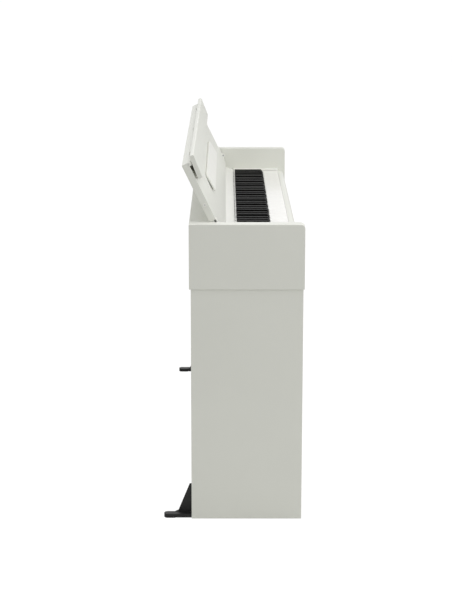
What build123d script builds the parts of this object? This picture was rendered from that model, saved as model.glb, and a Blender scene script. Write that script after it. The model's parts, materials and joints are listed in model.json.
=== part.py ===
from build123d import *
import math
import os

# A slim upright digital piano: a full 88-key keyboard in a white cabinet on two panel legs, with a
# folding key cover that opens to a music rest, a three-pedal unit and steel stabilisers at the rear.
# Frame: +X to the treble end, +Y to the rear, +Z up. The origin is on the floor, midway between the
# outer faces of the arms and midway between the cabinet's front and the rear ends of the stabilisers.
# Depths are measured forward from the rear face of the arms.

# ---- driving dimensions, mm ----
WIDTH = 1353.0
DEPTH = 296.0
HEIGHT = 792.0
STABILIZER_REACH = 68.5

ARM_THICKNESS = 36.0
ARM_BOTTOM = 623.0
ARM_CORNER = 11.0
EDGE = 1.2
LEG_THICKNESS = 30.0
LEG_INSET = 3.0
LEG_FRONT, LEG_REAR = 293.0, 4.5
BOARD = 18.0
BACK_THICKNESS = 12.0

GLIDE_RADIUS, GLIDE_HEIGHT = 9.0, 2.0
GLIDE_DEPTHS = (35.0, 265.0)

REAR_BOARD_TOP = 790.0
REAR_BOARD_DEPTH = 52.0
REAR_SETBACK = 3.0
SHELF_TOP = 729.0
SHELF_THICKNESS = 12.0

KEY_WIDTH = 23.5
WHITE_KEYS = 52
NOTES = 88
KEY_GAP = 1.0
KEY_REAR, KEY_FRONT = 121.0, 271.0
WHITE_TOP, WHITE_BOTTOM = 719.0, 699.0
BLACK_REAR, BLACK_SLOPE_REAR, BLACK_FRONT = 125.0, 213.0, 220.0
BLACK_TOP, BLACK_BOTTOM, BLACK_SLOPE_FOOT = 731.0, 703.0, 721.0
BLACK_WIDTH = 11.0
BLACK_CLEARANCE = 0.8
NOTCH_FRONT = 221.5
TAIL_REAR, TAIL_WIDTH, TAIL_BOTTOM, TAIL_TOP = 48.0, 9.0, 695.0, 707.0
KEY_PIVOT_DEPTH, KEY_PIVOT_Z = 55.0, 701.0
KEY_ROD_RADIUS = 3.0
RUNNING = 0.05

STRIP_REAR, STRIP_FRONT = 92.0, 120.0
STRIP_REAR_TOP, STRIP_FRONT_TOP, STRIP_THICKNESS = 729.0, 720.0, 8.0
SHELF_SEAM = 1.2
SLIP_REAR, SLIP_FRONT, SLIP_TOP, SLIP_ROUND = 272.0, 291.5, 716.0, 16.0
END_BLOCK_WIDTH, END_BLOCK_TOP = 28.0, 724.0
END_BLOCK_REAR, END_BLOCK_FRONT = 120.5, 271.7

FRAME_SHEET = 3.0
FRAME_REAR, FRAME_FRONT = 45.0, 265.0
RIB_THICKNESS = 1.6
RAIL_REAR, RAIL_FRONT, RAIL_TOP = 240.0, 262.0, 688.5

SPEAKER_X, SPEAKER_DEPTH = 325.0, 95.0
SPEAKER_FLANGE, SPEAKER_MOUTH = 44.0, 38.0

PIVOT_DEPTH, PIVOT_Z = 86.0, 769.0
LEAN = 25.7
LID_THICKNESS = 18.0
LID_BELOW_PIVOT, LID_ABOVE_PIVOT = 26.0, 196.0
LID_STAND_OFF = 3.0
LID_SIDE_GAP = 4.0
LID_HEEL = 8.0
LID_PIN_RADIUS = 3.0

FLAP_HINGE_UP = 191.0
FLAP_TILT = 4.0
FLAP_OVERHANG, FLAP_REACH = 19.0, 44.0
FLAP_NEAR, FLAP_THICKNESS = 5.4, 11.6
FLAP_EDGE = 3.0
HINGE_XS = (-480.0, 0.0, 480.0)
KNUCKLE, KNUCKLE_PITCH, KNUCKLE_RADIUS = 11.8, 12.0, 2.4
SMALL_PIN = 1.2
LEAF = 1.0

LEDGE_HINGE_UP, LEDGE_HINGE_OUT = 52.0, 0.2
LEDGE_TILT = 3.5
LEDGE_HALF_WIDTH, LEDGE_LENGTH, LEDGE_THICKNESS = 335.0, 52.0, 5.0
LEDGE_CORNER = 26.0
LEDGE_EYE = 2.6

BOX_HALF_WIDTH, BOX_REAR, BOX_FRONT, BOX_BOTTOM, BOX_TOP = 95.0, 40.0, 112.0, 52.0, 112.0
BOX_WALL = 4.0
PEDAL_SPACING = 56.0
PEDAL_ROD_DEPTH, PEDAL_ROD_Z, PEDAL_ROD_RADIUS = 62.0, 84.0, 4.0
PEDAL_FRONT = 195.0

PLATE = 3.0
BAR_OUTER_INSET = 12.5
BAR_TOP, PAD_TOP, PAD_LENGTH, BAR_BOTTOM = 11.0, 6.0, 30.0, 1.0
GUSSET_TOP, GUSSET_REACH = 88.0, 31.0

# ---- derived ----
REAR_Y = (DEPTH - STABILIZER_REACH) / 2
INNER_X = WIDTH / 2 - ARM_THICKNESS
LEG_OUTER_X = WIDTH / 2 - LEG_INSET
LEG_INNER_X = LEG_OUTER_X - LEG_THICKNESS
BED_TOP = ARM_BOTTOM + BOARD
FRAME_TOP = BED_TOP + FRAME_SHEET
KEYS_LEFT = -WHITE_KEYS * KEY_WIDTH / 2
KEY_ZONE_X = INNER_X - END_BLOCK_WIDTH
OCTAVE = 7 * KEY_WIDTH
LID_HALF_WIDTH = INNER_X - LID_SIDE_GAP
BAR_OUTER_X = WIDTH / 2 - BAR_OUTER_INSET

os.makedirs("parts", exist_ok=True)


def at(depth):
    """Y of a plane this far forward of the arms' rear face."""
    return REAR_Y - depth


def block(low, high, mode=Mode.ADD):
    """Add or cut a box between two opposite corners."""
    size = [abs(b - a) for a, b in zip(low, high)]
    middle = [(a + b) / 2 for a, b in zip(low, high)]
    with Locations(tuple(middle)):
        Box(*size, mode=mode)


def slab(half_width, rear, front, bottom, top, mode=Mode.ADD):
    """Add or cut a board centred on the cabinet, between two depths and two heights."""
    block((-half_width, at(front), bottom), (half_width, at(rear), top), mode)


def rod(x_low, x_high, y, z, radius, mode=Mode.ADD):
    """Add or cut a round bar along X."""
    with Locations(Location(((x_low + x_high) / 2, y, z), (0, 90, 0))):
        Cylinder(radius, x_high - x_low, mode=mode)


def drum(x, y, bottom, top, radius, mode=Mode.ADD):
    """Add or cut an upright round bar."""
    with Locations((x, y, (bottom + top) / 2)):
        Cylinder(radius, top - bottom, mode=mode)


def profile(plane, corners, x_low, x_high, mode=Mode.ADD):
    """Add or cut a straight-sided profile, drawn on a side plane and run along X."""
    with BuildSketch(plane.offset(x_low)) as outline:
        with BuildLine():
            Polyline(*corners, close=True)
        make_face()
    extrude(outline.sketch, amount=x_high - x_low, mode=mode)


def disc(plane, centre, radius, x_low, x_high, mode=Mode.ADD):
    """Add or cut a round bar along X, centred on a point of a side plane."""
    with BuildSketch(plane.offset(x_low)) as outline:
        with Locations(centre):
            Circle(radius)
    extrude(outline.sketch, amount=x_high - x_low, mode=mode)


def along_x(builder):
    """The straight edges of the current part that run along X."""
    return builder.edges().filter_by(Axis.X)


SIDE = Plane.YZ
PIVOT_Y = at(PIVOT_DEPTH)
lean = math.radians(LEAN)
# The open lid's own plane: x up the lid from its pivot, y out of its inner face.
LID_SIDE = Plane((0, PIVOT_Y, PIVOT_Z), x_dir=(0, math.sin(lean), math.cos(lean)), z_dir=(1, 0, 0))


def on_lid(up, out, turn):
    """A side plane hinged on the lid: its origin, and its x direction as an angle from up the lid."""
    origin = LID_SIDE.from_local_coords((up, out, 0))
    angle = math.radians(turn)
    direction = LID_SIDE.x_dir * math.cos(angle) + LID_SIDE.y_dir * math.sin(angle)
    return Plane(origin, x_dir=direction, z_dir=(1, 0, 0))


FLAP_SIDE = on_lid(FLAP_HINGE_UP, 0, 180 + FLAP_TILT)
LEDGE_SIDE = on_lid(LEDGE_HINGE_UP, LEDGE_HINGE_OUT, -LEDGE_TILT)


# ---- cabinet ----
PIN_HOLE = 12.0
with BuildPart() as left_arm:
    block((-WIDTH / 2, at(DEPTH), ARM_BOTTOM), (-INNER_X, at(0), HEIGHT))
    top_edges = along_x(left_arm).group_by(Axis.Z)[-1].sort_by(Axis.Y)
    fillet(top_edges[0], ARM_CORNER)
    fillet(along_x(left_arm).group_by(Axis.Z)[-1].sort_by(Axis.Y)[-1], EDGE)
    sides = left_arm.faces().filter_by(Axis.X)
    fillet(sides.sort_by(Axis.X)[0].edges(), EDGE)
    rod(-INNER_X - PIN_HOLE, -INNER_X, PIVOT_Y, PIVOT_Z, LID_PIN_RADIUS, Mode.SUBTRACT)
left_arm.part.label = "left_arm"
export_step(left_arm.part, "parts/left_arm.step")

with BuildPart() as right_arm:
    mirror(left_arm.part, about=Plane.YZ)
right_arm.part.label = "right_arm"
export_step(right_arm.part, "parts/right_arm.step")

with BuildPart() as left_leg_panel:
    low = (-LEG_OUTER_X, at(LEG_FRONT), GLIDE_HEIGHT)
    block(low, (-LEG_INNER_X, at(LEG_REAR), ARM_BOTTOM))
    chamfer(left_leg_panel.edges().filter_by(Axis.Z), EDGE / 2)
left_leg_panel.part.label = "left_leg_panel"
export_step(left_leg_panel.part, "parts/left_leg_panel.step")

with BuildPart() as right_leg_panel:
    mirror(left_leg_panel.part, about=Plane.YZ)
right_leg_panel.part.label = "right_leg_panel"
export_step(right_leg_panel.part, "parts/right_leg_panel.step")

with BuildPart() as leg_glides:
    for side in (-1, 1):
        for depth in GLIDE_DEPTHS:
            x = side * (LEG_OUTER_X + LEG_INNER_X) / 2
            drum(x, at(depth), 0, GLIDE_HEIGHT, GLIDE_RADIUS)
leg_glides.part.label = "leg_glides"
export_step(leg_glides.part, "parts/leg_glides.step")

with BuildPart() as rear_top_board:
    slab(INNER_X, 0, REAR_BOARD_DEPTH, REAR_BOARD_TOP - BOARD, REAR_BOARD_TOP)
    fillet(along_x(rear_top_board).group_by(Axis.Z)[-1], EDGE)
rear_top_board.part.label = "rear_top_board"
export_step(rear_top_board.part, "parts/rear_top_board.step")

INLET_X, INLET_Z = 560.0, 672.0
INLET_HALF_X, INLET_HALF_Z = 12.0, 8.0
INLET_HOLE, INLET_HOLE_DEPTH = 2.8, 12.0
COVER_FRONT = REAR_SETBACK + BACK_THICKNESS
with BuildPart() as rear_cover:
    slab(INNER_X, REAR_SETBACK, COVER_FRONT, BED_TOP, REAR_BOARD_TOP - BOARD)
    low = (INLET_X - INLET_HALF_X, at(COVER_FRONT), INLET_Z - INLET_HALF_Z)
    block(low, (INLET_X + INLET_HALF_X, at(REAR_SETBACK), INLET_Z + INLET_HALF_Z), Mode.SUBTRACT)
rear_cover.part.label = "rear_cover"
export_step(rear_cover.part, "parts/rear_cover.step")

FLANGE = 2.0
INLET_FRONT = 30.0
with BuildPart() as power_inlet:
    low = (INLET_X - INLET_HALF_X, at(INLET_FRONT), INLET_Z - INLET_HALF_Z)
    block(low, (INLET_X + INLET_HALF_X, at(REAR_SETBACK), INLET_Z + INLET_HALF_Z))
    rim_x, rim_z = INLET_HALF_X + FLANGE, INLET_HALF_Z + FLANGE
    low = (INLET_X - rim_x, at(REAR_SETBACK), INLET_Z - rim_z)
    block(low, (INLET_X + rim_x, at(REAR_SETBACK - FLANGE), INLET_Z + rim_z))
    mouth = Plane.XZ.offset(-at(REAR_SETBACK - FLANGE))
    with BuildSketch(mouth):
        with Locations((INLET_X, INLET_Z)):
            Circle(INLET_HOLE)
    extrude(amount=INLET_HOLE_DEPTH, mode=Mode.SUBTRACT)
power_inlet.part.label = "power_inlet"
export_step(power_inlet.part, "parts/power_inlet.step")

with BuildPart() as keybed:
    slab(INNER_X, REAR_SETBACK, SLIP_FRONT, ARM_BOTTOM, BED_TOP)
    for x in (-SPEAKER_X, SPEAKER_X):
        drum(x, at(SPEAKER_DEPTH), ARM_BOTTOM, BED_TOP, SPEAKER_MOUTH, Mode.SUBTRACT)
keybed.part.label = "keybed"
export_step(keybed.part, "parts/keybed.step")

with BuildPart() as key_slip:
    slab(INNER_X, SLIP_REAR, SLIP_FRONT, BED_TOP, SLIP_TOP)
    fillet(along_x(key_slip).group_by(Axis.Z)[-1].sort_by(Axis.Y)[0], SLIP_ROUND)
key_slip.part.label = "key_slip"
export_step(key_slip.part, "parts/key_slip.step")

# The bass end block carries the power button, the function button and the volume slider.
CONTROL_X = -(INNER_X + KEY_ZONE_X) / 2
POWER_DEPTH, POWER_RADIUS = 250.0, 5.0
FUNCTION_DEPTH, FUNCTION_HALF = 224.0, 4.0
BUTTON_BOTTOM, BUTTON_TOP, BUTTON_POCKET, BUTTON_CLEARANCE = 717.0, 725.5, 715.0, 0.3
SLIDER_DEPTH, SLOT_HALF_LENGTH, SLOT_HALF_WIDTH = 182.0, 17.0, 2.0
STEM_HALF_LENGTH, STEM_HALF_WIDTH, STEM_BOTTOM = 3.0, 1.7, 716.5
CAP_HALF_LENGTH, CAP_HALF_WIDTH, CAP_BOTTOM, CAP_TOP = 5.5, 4.5, 724.6, 729.5
with BuildPart() as left_end_block:
    low = (-INNER_X, at(END_BLOCK_FRONT), BED_TOP)
    block(low, (-KEY_ZONE_X, at(END_BLOCK_REAR), END_BLOCK_TOP))
    radius = POWER_RADIUS + BUTTON_CLEARANCE
    drum(CONTROL_X, at(POWER_DEPTH), BUTTON_POCKET, END_BLOCK_TOP, radius, Mode.SUBTRACT)
    half = FUNCTION_HALF + BUTTON_CLEARANCE
    low = (CONTROL_X - half, at(FUNCTION_DEPTH) - half, BUTTON_POCKET)
    block(low, (CONTROL_X + half, at(FUNCTION_DEPTH) + half, END_BLOCK_TOP), Mode.SUBTRACT)
    low = (CONTROL_X - SLOT_HALF_WIDTH, at(SLIDER_DEPTH) - SLOT_HALF_LENGTH, BUTTON_POCKET)
    high = (CONTROL_X + SLOT_HALF_WIDTH, at(SLIDER_DEPTH) + SLOT_HALF_LENGTH, END_BLOCK_TOP)
    block(low, high, Mode.SUBTRACT)
left_end_block.part.label = "left_end_block"
export_step(left_end_block.part, "parts/left_end_block.step")

with BuildPart() as right_end_block:
    low = (KEY_ZONE_X, at(END_BLOCK_FRONT), BED_TOP)
    block(low, (INNER_X, at(END_BLOCK_REAR), END_BLOCK_TOP))
right_end_block.part.label = "right_end_block"
export_step(right_end_block.part, "parts/right_end_block.step")

with BuildPart() as power_button:
    drum(CONTROL_X, at(POWER_DEPTH), BUTTON_BOTTOM, BUTTON_TOP, POWER_RADIUS)
    fillet(power_button.edges().group_by(Axis.Z)[-1], EDGE / 2)
power_button.part.label = "power_button"
export_step(power_button.part, "parts/power_button.step")

with BuildPart() as function_button:
    low = (CONTROL_X - FUNCTION_HALF, at(FUNCTION_DEPTH) - FUNCTION_HALF, BUTTON_BOTTOM)
    high = (CONTROL_X + FUNCTION_HALF, at(FUNCTION_DEPTH) + FUNCTION_HALF, BUTTON_TOP)
    block(low, high)
    fillet(function_button.edges().group_by(Axis.Z)[-1], EDGE / 2)
function_button.part.label = "function_button"
export_step(function_button.part, "parts/function_button.step")

with BuildPart() as volume_slider:
    low = (CONTROL_X - STEM_HALF_WIDTH, at(SLIDER_DEPTH) - STEM_HALF_LENGTH, STEM_BOTTOM)
    block(low, (CONTROL_X + STEM_HALF_WIDTH, at(SLIDER_DEPTH) + STEM_HALF_LENGTH, CAP_BOTTOM))
    low = (CONTROL_X - CAP_HALF_WIDTH, at(SLIDER_DEPTH) - CAP_HALF_LENGTH, CAP_BOTTOM)
    block(low, (CONTROL_X + CAP_HALF_WIDTH, at(SLIDER_DEPTH) + CAP_HALF_LENGTH, CAP_TOP))
    chamfer(volume_slider.edges().group_by(Axis.Z)[-1], EDGE / 2)
volume_slider.part.label = "volume_slider"
export_step(volume_slider.part, "parts/volume_slider.step")

with BuildPart() as key_strip:
    outline = (
        (at(STRIP_REAR), STRIP_REAR_TOP),
        (at(STRIP_FRONT), STRIP_FRONT_TOP),
        (at(STRIP_FRONT), STRIP_FRONT_TOP - STRIP_THICKNESS),
        (at(STRIP_REAR), STRIP_REAR_TOP - SHELF_THICKNESS),
    )
    profile(SIDE, outline, -INNER_X, INNER_X)
key_strip.part.label = "key_strip"
export_step(key_strip.part, "parts/key_strip.step")

with BuildPart() as inner_shelf:
    shelf_front = STRIP_REAR - SHELF_SEAM
    slab(INNER_X, COVER_FRONT, shelf_front, SHELF_TOP - SHELF_THICKNESS, SHELF_TOP)
inner_shelf.part.label = "inner_shelf"
export_step(inner_shelf.part, "parts/inner_shelf.step")


# ---- keyboard ----
BLACK = (1, 3, 6, 8, 10)
NAMES = ("c", "c_sharp", "d", "d_sharp", "e", "f", "f_sharp", "g", "g_sharp", "a", "a_sharp", "b")
FIRST_PITCH = 9
WHITES_BELOW_A = 5
FIRST_OCTAVE_X = KEYS_LEFT - WHITES_BELOW_A * KEY_WIDTH
LOW_SLOT = 3 * KEY_WIDTH / 5
HIGH_SLOT = 4 * KEY_WIDTH / 7


def slot_centre(pitch):
    """Where a key's tail lies, from the left edge of its octave."""
    if pitch < 5:
        return (pitch + 0.5) * LOW_SLOT
    return 3 * KEY_WIDTH + (pitch - 5 + 0.5) * HIGH_SLOT


def octave_of(note):
    """X of the left edge of the octave that holds this note."""
    return FIRST_OCTAVE_X + (note + FIRST_PITCH) // 12 * OCTAVE


def key_tail(x, front):
    """Add a key's narrow rear part, which turns on the pivot rod under the inner shelf."""
    half = TAIL_WIDTH / 2
    block((x - half, at(front), TAIL_BOTTOM), (x + half, at(TAIL_REAR), TAIL_TOP))


def rod_hole(x):
    """Cut the hole in a key's tail for the pivot rod."""
    half, radius = TAIL_WIDTH, KEY_ROD_RADIUS + RUNNING
    rod(x - half, x + half, at(KEY_PIVOT_DEPTH), KEY_PIVOT_Z, radius, Mode.SUBTRACT)


def white_key(note, pitch):
    """Add a white key: a full-width front and a rear part that leaves room for its black neighbours."""
    start = octave_of(note)
    place = pitch // 2 if pitch < 5 else (pitch + 1) // 2
    left = start + place * KEY_WIDTH + KEY_GAP / 2
    right = left + KEY_WIDTH - KEY_GAP
    clear = BLACK_WIDTH / 2 + BLACK_CLEARANCE
    rear_left, rear_right = left, right
    if pitch - 1 in BLACK and note > 0:
        rear_left = start + slot_centre(pitch - 1) + clear
    if pitch + 1 in BLACK and note < NOTES - 1:
        rear_right = start + slot_centre(pitch + 1) - clear
    block((left, at(KEY_FRONT), WHITE_BOTTOM), (right, at(NOTCH_FRONT), WHITE_TOP))
    block((rear_left, at(NOTCH_FRONT), WHITE_BOTTOM), (rear_right, at(KEY_REAR), WHITE_TOP))


def black_key(note, pitch):
    """Add a black key with its sloping front."""
    x = octave_of(note) + slot_centre(pitch)
    outline = (
        (at(BLACK_REAR), BLACK_BOTTOM),
        (at(BLACK_REAR), BLACK_TOP),
        (at(BLACK_SLOPE_REAR), BLACK_TOP),
        (at(BLACK_FRONT), BLACK_SLOPE_FOOT),
        (at(BLACK_FRONT), BLACK_BOTTOM),
    )
    profile(SIDE, outline, x - BLACK_WIDTH / 2, x + BLACK_WIDTH / 2)


for pitch, name in enumerate(NAMES):
    with BuildPart() as key_set:
        for note in range(NOTES):
            if (note + FIRST_PITCH) % 12 == pitch:
                tail_x = octave_of(note) + slot_centre(pitch)
                if pitch in BLACK:
                    black_key(note, pitch)
                    key_tail(tail_x, BLACK_REAR)
                else:
                    white_key(note, pitch)
                    key_tail(tail_x, KEY_REAR)
                rod_hole(tail_x)
    key_set.part.label = f"keys_{name}"
    export_step(key_set.part, f"parts/keys_{name}.step")

ROD_END = 610.0
END_RIB, ROD_PROUD = 3.0, 1.0
RIB_REAR, RIB_FRONT, RIB_TOP = 49.0, 61.0, 707.0
with BuildPart() as key_frame:
    slab(KEY_ZONE_X - KEY_GAP, FRAME_REAR, FRAME_FRONT, BED_TOP, FRAME_TOP)
    slab(KEY_ZONE_X - KEY_GAP, RAIL_REAR, RAIL_FRONT, FRAME_TOP, RAIL_TOP)
    for octave in range(1, NOTES // 12 + 2):
        x = FIRST_OCTAVE_X + octave * OCTAVE + (LOW_SLOT - HIGH_SLOT) / 4
        low = (x - RIB_THICKNESS / 2, at(RIB_FRONT), FRAME_TOP)
        block(low, (x + RIB_THICKNESS / 2, at(RIB_REAR), RIB_TOP))
    for side in (-1, 1):
        x = side * (ROD_END - END_RIB / 2 - ROD_PROUD)
        low = (x - END_RIB / 2, at(RIB_FRONT), FRAME_TOP)
        block(low, (x + END_RIB / 2, at(RIB_REAR), RIB_TOP))
    for x in (-SPEAKER_X, SPEAKER_X):
        hole = SPEAKER_FLANGE + KEY_GAP
        drum(x, at(SPEAKER_DEPTH), BED_TOP, FRAME_TOP, hole, Mode.SUBTRACT)
    rod(-ROD_END, ROD_END, at(KEY_PIVOT_DEPTH), KEY_PIVOT_Z, KEY_ROD_RADIUS, Mode.SUBTRACT)
key_frame.part.label = "key_frame"
export_step(key_frame.part, "parts/key_frame.step")

with BuildPart() as key_pivot_rod:
    rod(-ROD_END, ROD_END, at(KEY_PIVOT_DEPTH), KEY_PIVOT_Z, KEY_ROD_RADIUS)
key_pivot_rod.part.label = "key_pivot_rod"
export_step(key_pivot_rod.part, "parts/key_pivot_rod.step")

SENSOR_HALF_WIDTH, SENSOR_REAR, SENSOR_FRONT, CIRCUIT_BOARD = 600.0, 150.0, 185.0, 1.6
with BuildPart() as sensor_board:
    slab(SENSOR_HALF_WIDTH, SENSOR_REAR, SENSOR_FRONT, FRAME_TOP, FRAME_TOP + CIRCUIT_BOARD)
sensor_board.part.label = "sensor_board"
export_step(sensor_board.part, "parts/sensor_board.step")

BOARD_LEFT, BOARD_RIGHT, BOARD_LOW, BOARD_HIGH = 300.0, 520.0, 648.0, 706.0
CHIPS = ((330.0, 18.0, 5.0), (380.0, 26.0, 3.0), (440.0, 14.0, 12.0), (490.0, 20.0, 10.0))
with BuildPart() as main_board:
    low = (BOARD_LEFT, at(COVER_FRONT + CIRCUIT_BOARD), BOARD_LOW)
    block(low, (BOARD_RIGHT, at(COVER_FRONT), BOARD_HIGH))
    middle = (BOARD_LOW + BOARD_HIGH) / 2
    for x, size, rise in CHIPS:
        low = (x - size / 2, at(COVER_FRONT + CIRCUIT_BOARD + rise), middle - size / 2)
        block(low, (x + size / 2, at(COVER_FRONT + CIRCUIT_BOARD), middle + size / 2))
main_board.part.label = "main_board"
export_step(main_board.part, "parts/main_board.step")

CONE_RISE, MAGNET_RADIUS, MAGNET_TOP = 28.0, 26.0, 683.0
CONE_WALL, CONE_THROAT = 4.0, 20.0
with BuildPart() as speakers:
    for x in (-SPEAKER_X, SPEAKER_X):
        y, rim = at(SPEAKER_DEPTH), FRAME_TOP
        drum(x, y, BED_TOP, rim, SPEAKER_FLANGE)
        with Locations((x, y, rim + CONE_RISE / 2)):
            Cone(SPEAKER_MOUTH, CONE_THROAT, CONE_RISE)
        drum(x, y, rim + CONE_RISE, MAGNET_TOP, MAGNET_RADIUS)
        with Locations((x, y, BED_TOP + CONE_RISE / 2)):
            Cone(SPEAKER_MOUTH - CONE_WALL, CONE_THROAT - CONE_WALL, CONE_RISE, mode=Mode.SUBTRACT)
speakers.part.label = "speakers"
export_step(speakers.part, "parts/speakers.step")

GRILLE_HALF, GRILLE_THICKNESS = 46.0, 3.0
GRILLE_SLOTS, SLOT_PITCH, SLOT_LENGTH, SLOT_WIDTH = 7, 11.0, 74.0, 5.0
with BuildPart() as speaker_grilles:
    centres = [(x, at(SPEAKER_DEPTH)) for x in (-SPEAKER_X, SPEAKER_X)]
    with BuildSketch(Plane.XY.offset(ARM_BOTTOM - GRILLE_THICKNESS)):
        with Locations(*centres):
            RectangleRounded(2 * GRILLE_HALF, 2 * GRILLE_HALF, ARM_CORNER)
        for x, y in centres:
            for row in range(GRILLE_SLOTS):
                with Locations((x, y + (row - GRILLE_SLOTS // 2) * SLOT_PITCH)):
                    SlotOverall(SLOT_LENGTH, SLOT_WIDTH, mode=Mode.SUBTRACT)
    extrude(amount=GRILLE_THICKNESS)
speaker_grilles.part.label = "speaker_grilles"
export_step(speaker_grilles.part, "parts/speaker_grilles.step")

JACK_XS, JACK_Z, JACK_RADIUS, JACK_DEPTH = (-575.0, -545.0), 609.0, 3.25, 22.0
JACK_BOX_LEFT, JACK_BOX_RIGHT = -600.0, -520.0
JACK_BOX_REAR, JACK_BOX_FRONT, JACK_BOX_BOTTOM = 246.0, 286.0, 597.0
with BuildPart() as headphone_box:
    low = (JACK_BOX_LEFT, at(JACK_BOX_FRONT), JACK_BOX_BOTTOM)
    block(low, (JACK_BOX_RIGHT, at(JACK_BOX_REAR), ARM_BOTTOM))
    fillet(headphone_box.edges().group_by(Axis.Z)[0], 2 * EDGE)
    with BuildSketch(Plane.XZ.offset(-at(JACK_BOX_FRONT))):
        with Locations(*[(x, JACK_Z) for x in JACK_XS]):
            Circle(JACK_RADIUS)
    extrude(amount=-JACK_DEPTH, mode=Mode.SUBTRACT)
headphone_box.part.label = "headphone_box"
export_step(headphone_box.part, "parts/headphone_box.step")


# ---- key cover: lid, folding flap and music ledge ----
INNER_FACE = -LID_STAND_OFF
OUTER_FACE = -LID_STAND_OFF - LID_THICKNESS
BRACKET_DEPTH, BRACKET_LOW, BRACKET_HIGH, BRACKET_INNER_X = 5.0, -14.0, 34.0, 606.0
BRACKET_FACE, BOSS_RADIUS, BOSS_INNER_X = -1.5, 7.0, 626.0
HINGE_LENGTH = 5 * KNUCKLE_PITCH
# A rib beside the flap's hinge line closes the gap behind the folded flap, inside the flap's sweep.
LID_RIB = ((186.0, -5.0), (186.0, 2.0), (188.5, 4.2), (193.5, 4.2), (195.6, 1.8), (195.6, -5.0))
LID_RIB_GAP = 1.0


def sheet(plane, low, high, x_low, x_high, mode=Mode.ADD):
    """Add or cut a box between two opposite corners of a side plane, run along X."""
    (a, b), (c, d) = low, high
    profile(plane, ((a, b), (c, b), (c, d), (a, d)), x_low, x_high, mode)


with BuildPart() as lid:
    low, high = (-LID_BELOW_PIVOT, OUTER_FACE), (LID_ABOVE_PIVOT, INNER_FACE)
    sheet(LID_SIDE, low, high, -LID_HALF_WIDTH, LID_HALF_WIDTH)
    heel = along_x(lid).sort_by_distance(LID_SIDE.from_local_coords((*low, 0)))[0]
    fillet(heel, LID_HEEL)
    upper = along_x(lid).group_by(Axis.Z)[-2:]
    fillet(upper[0] + upper[1], EDGE)
    low, high = (BRACKET_LOW, INNER_FACE - BRACKET_DEPTH), (BRACKET_HIGH, INNER_FACE)
    sheet(LID_SIDE, low, high, -LID_HALF_WIDTH, -BRACKET_INNER_X, Mode.SUBTRACT)
    sheet(LID_SIDE, low, high, BRACKET_INNER_X, LID_HALF_WIDTH, Mode.SUBTRACT)
    reach = HINGE_LENGTH / 2 + LID_RIB_GAP
    starts = [-LID_HALF_WIDTH] + [x + reach for x in HINGE_XS]
    ends = [x - reach for x in HINGE_XS] + [LID_HALF_WIDTH]
    for start, end in zip(starts, ends):
        profile(LID_SIDE, LID_RIB, start, end)
lid.part.label = "lid"
export_step(lid.part, "parts/lid.step")

with BuildPart() as lid_hinge_brackets:
    low, high = (BRACKET_LOW, INNER_FACE - BRACKET_DEPTH), (BRACKET_HIGH, BRACKET_FACE)
    sheet(LID_SIDE, low, high, BRACKET_INNER_X, LID_HALF_WIDTH)
    disc(LID_SIDE, (0, 0), BOSS_RADIUS, BOSS_INNER_X, LID_HALF_WIDTH)
    hole = LID_PIN_RADIUS + RUNNING
    disc(LID_SIDE, (0, 0), hole, BRACKET_INNER_X, LID_HALF_WIDTH, Mode.SUBTRACT)
    mirror(about=Plane.YZ)
lid_hinge_brackets.part.label = "lid_hinge_brackets"
export_step(lid_hinge_brackets.part, "parts/lid_hinge_brackets.step")

with BuildPart() as lid_hinge_pins:
    rod(BOSS_INNER_X, INNER_X + PIN_HOLE, PIVOT_Y, PIVOT_Z, LID_PIN_RADIUS)
    mirror(about=Plane.YZ)
lid_hinge_pins.part.label = "lid_hinge_pins"
export_step(lid_hinge_pins.part, "parts/lid_hinge_pins.step")

CAP_UP, CAP_RADIUS, CAP_THICKNESS, CAP_HOLE = 79.5, 5.0, 1.2, 1.8
with BuildPart() as lid_end_caps:
    centre = (CAP_UP, (INNER_FACE + OUTER_FACE) / 2)
    disc(LID_SIDE, centre, CAP_RADIUS, LID_HALF_WIDTH, LID_HALF_WIDTH + CAP_THICKNESS)
    low = LID_HALF_WIDTH + CAP_THICKNESS / 2
    disc(LID_SIDE, centre, CAP_HOLE, low, LID_HALF_WIDTH + CAP_THICKNESS, Mode.SUBTRACT)
    mirror(about=Plane.YZ)
lid_end_caps.part.label = "lid_end_caps"
export_step(lid_end_caps.part, "parts/lid_end_caps.step")

with BuildPart() as lid_flap:
    low, high = (-FLAP_OVERHANG, -FLAP_NEAR - FLAP_THICKNESS), (FLAP_REACH, -FLAP_NEAR)
    sheet(FLAP_SIDE, low, high, -LID_HALF_WIDTH, LID_HALF_WIDTH)
    fillet(along_x(lid_flap), FLAP_EDGE)
lid_flap.part.label = "lid_flap"
export_step(lid_flap.part, "parts/lid_flap.step")

LID_LEAF_LOW, LID_LEAF_HIGH, LID_WEB_LOW, LID_WEB_OUT = 165.0, 188.2, 186.0, -1.2
FLAP_LEAF_REACH = 24.0


def knuckle_spans(centre, numbers):
    """Start and end of the numbered knuckles of the hinge at this X, counted from its left end."""
    start = centre - HINGE_LENGTH / 2 + (KNUCKLE_PITCH - KNUCKLE) / 2
    return [(start + n * KNUCKLE_PITCH, start + n * KNUCKLE_PITCH + KNUCKLE) for n in numbers]


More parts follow.
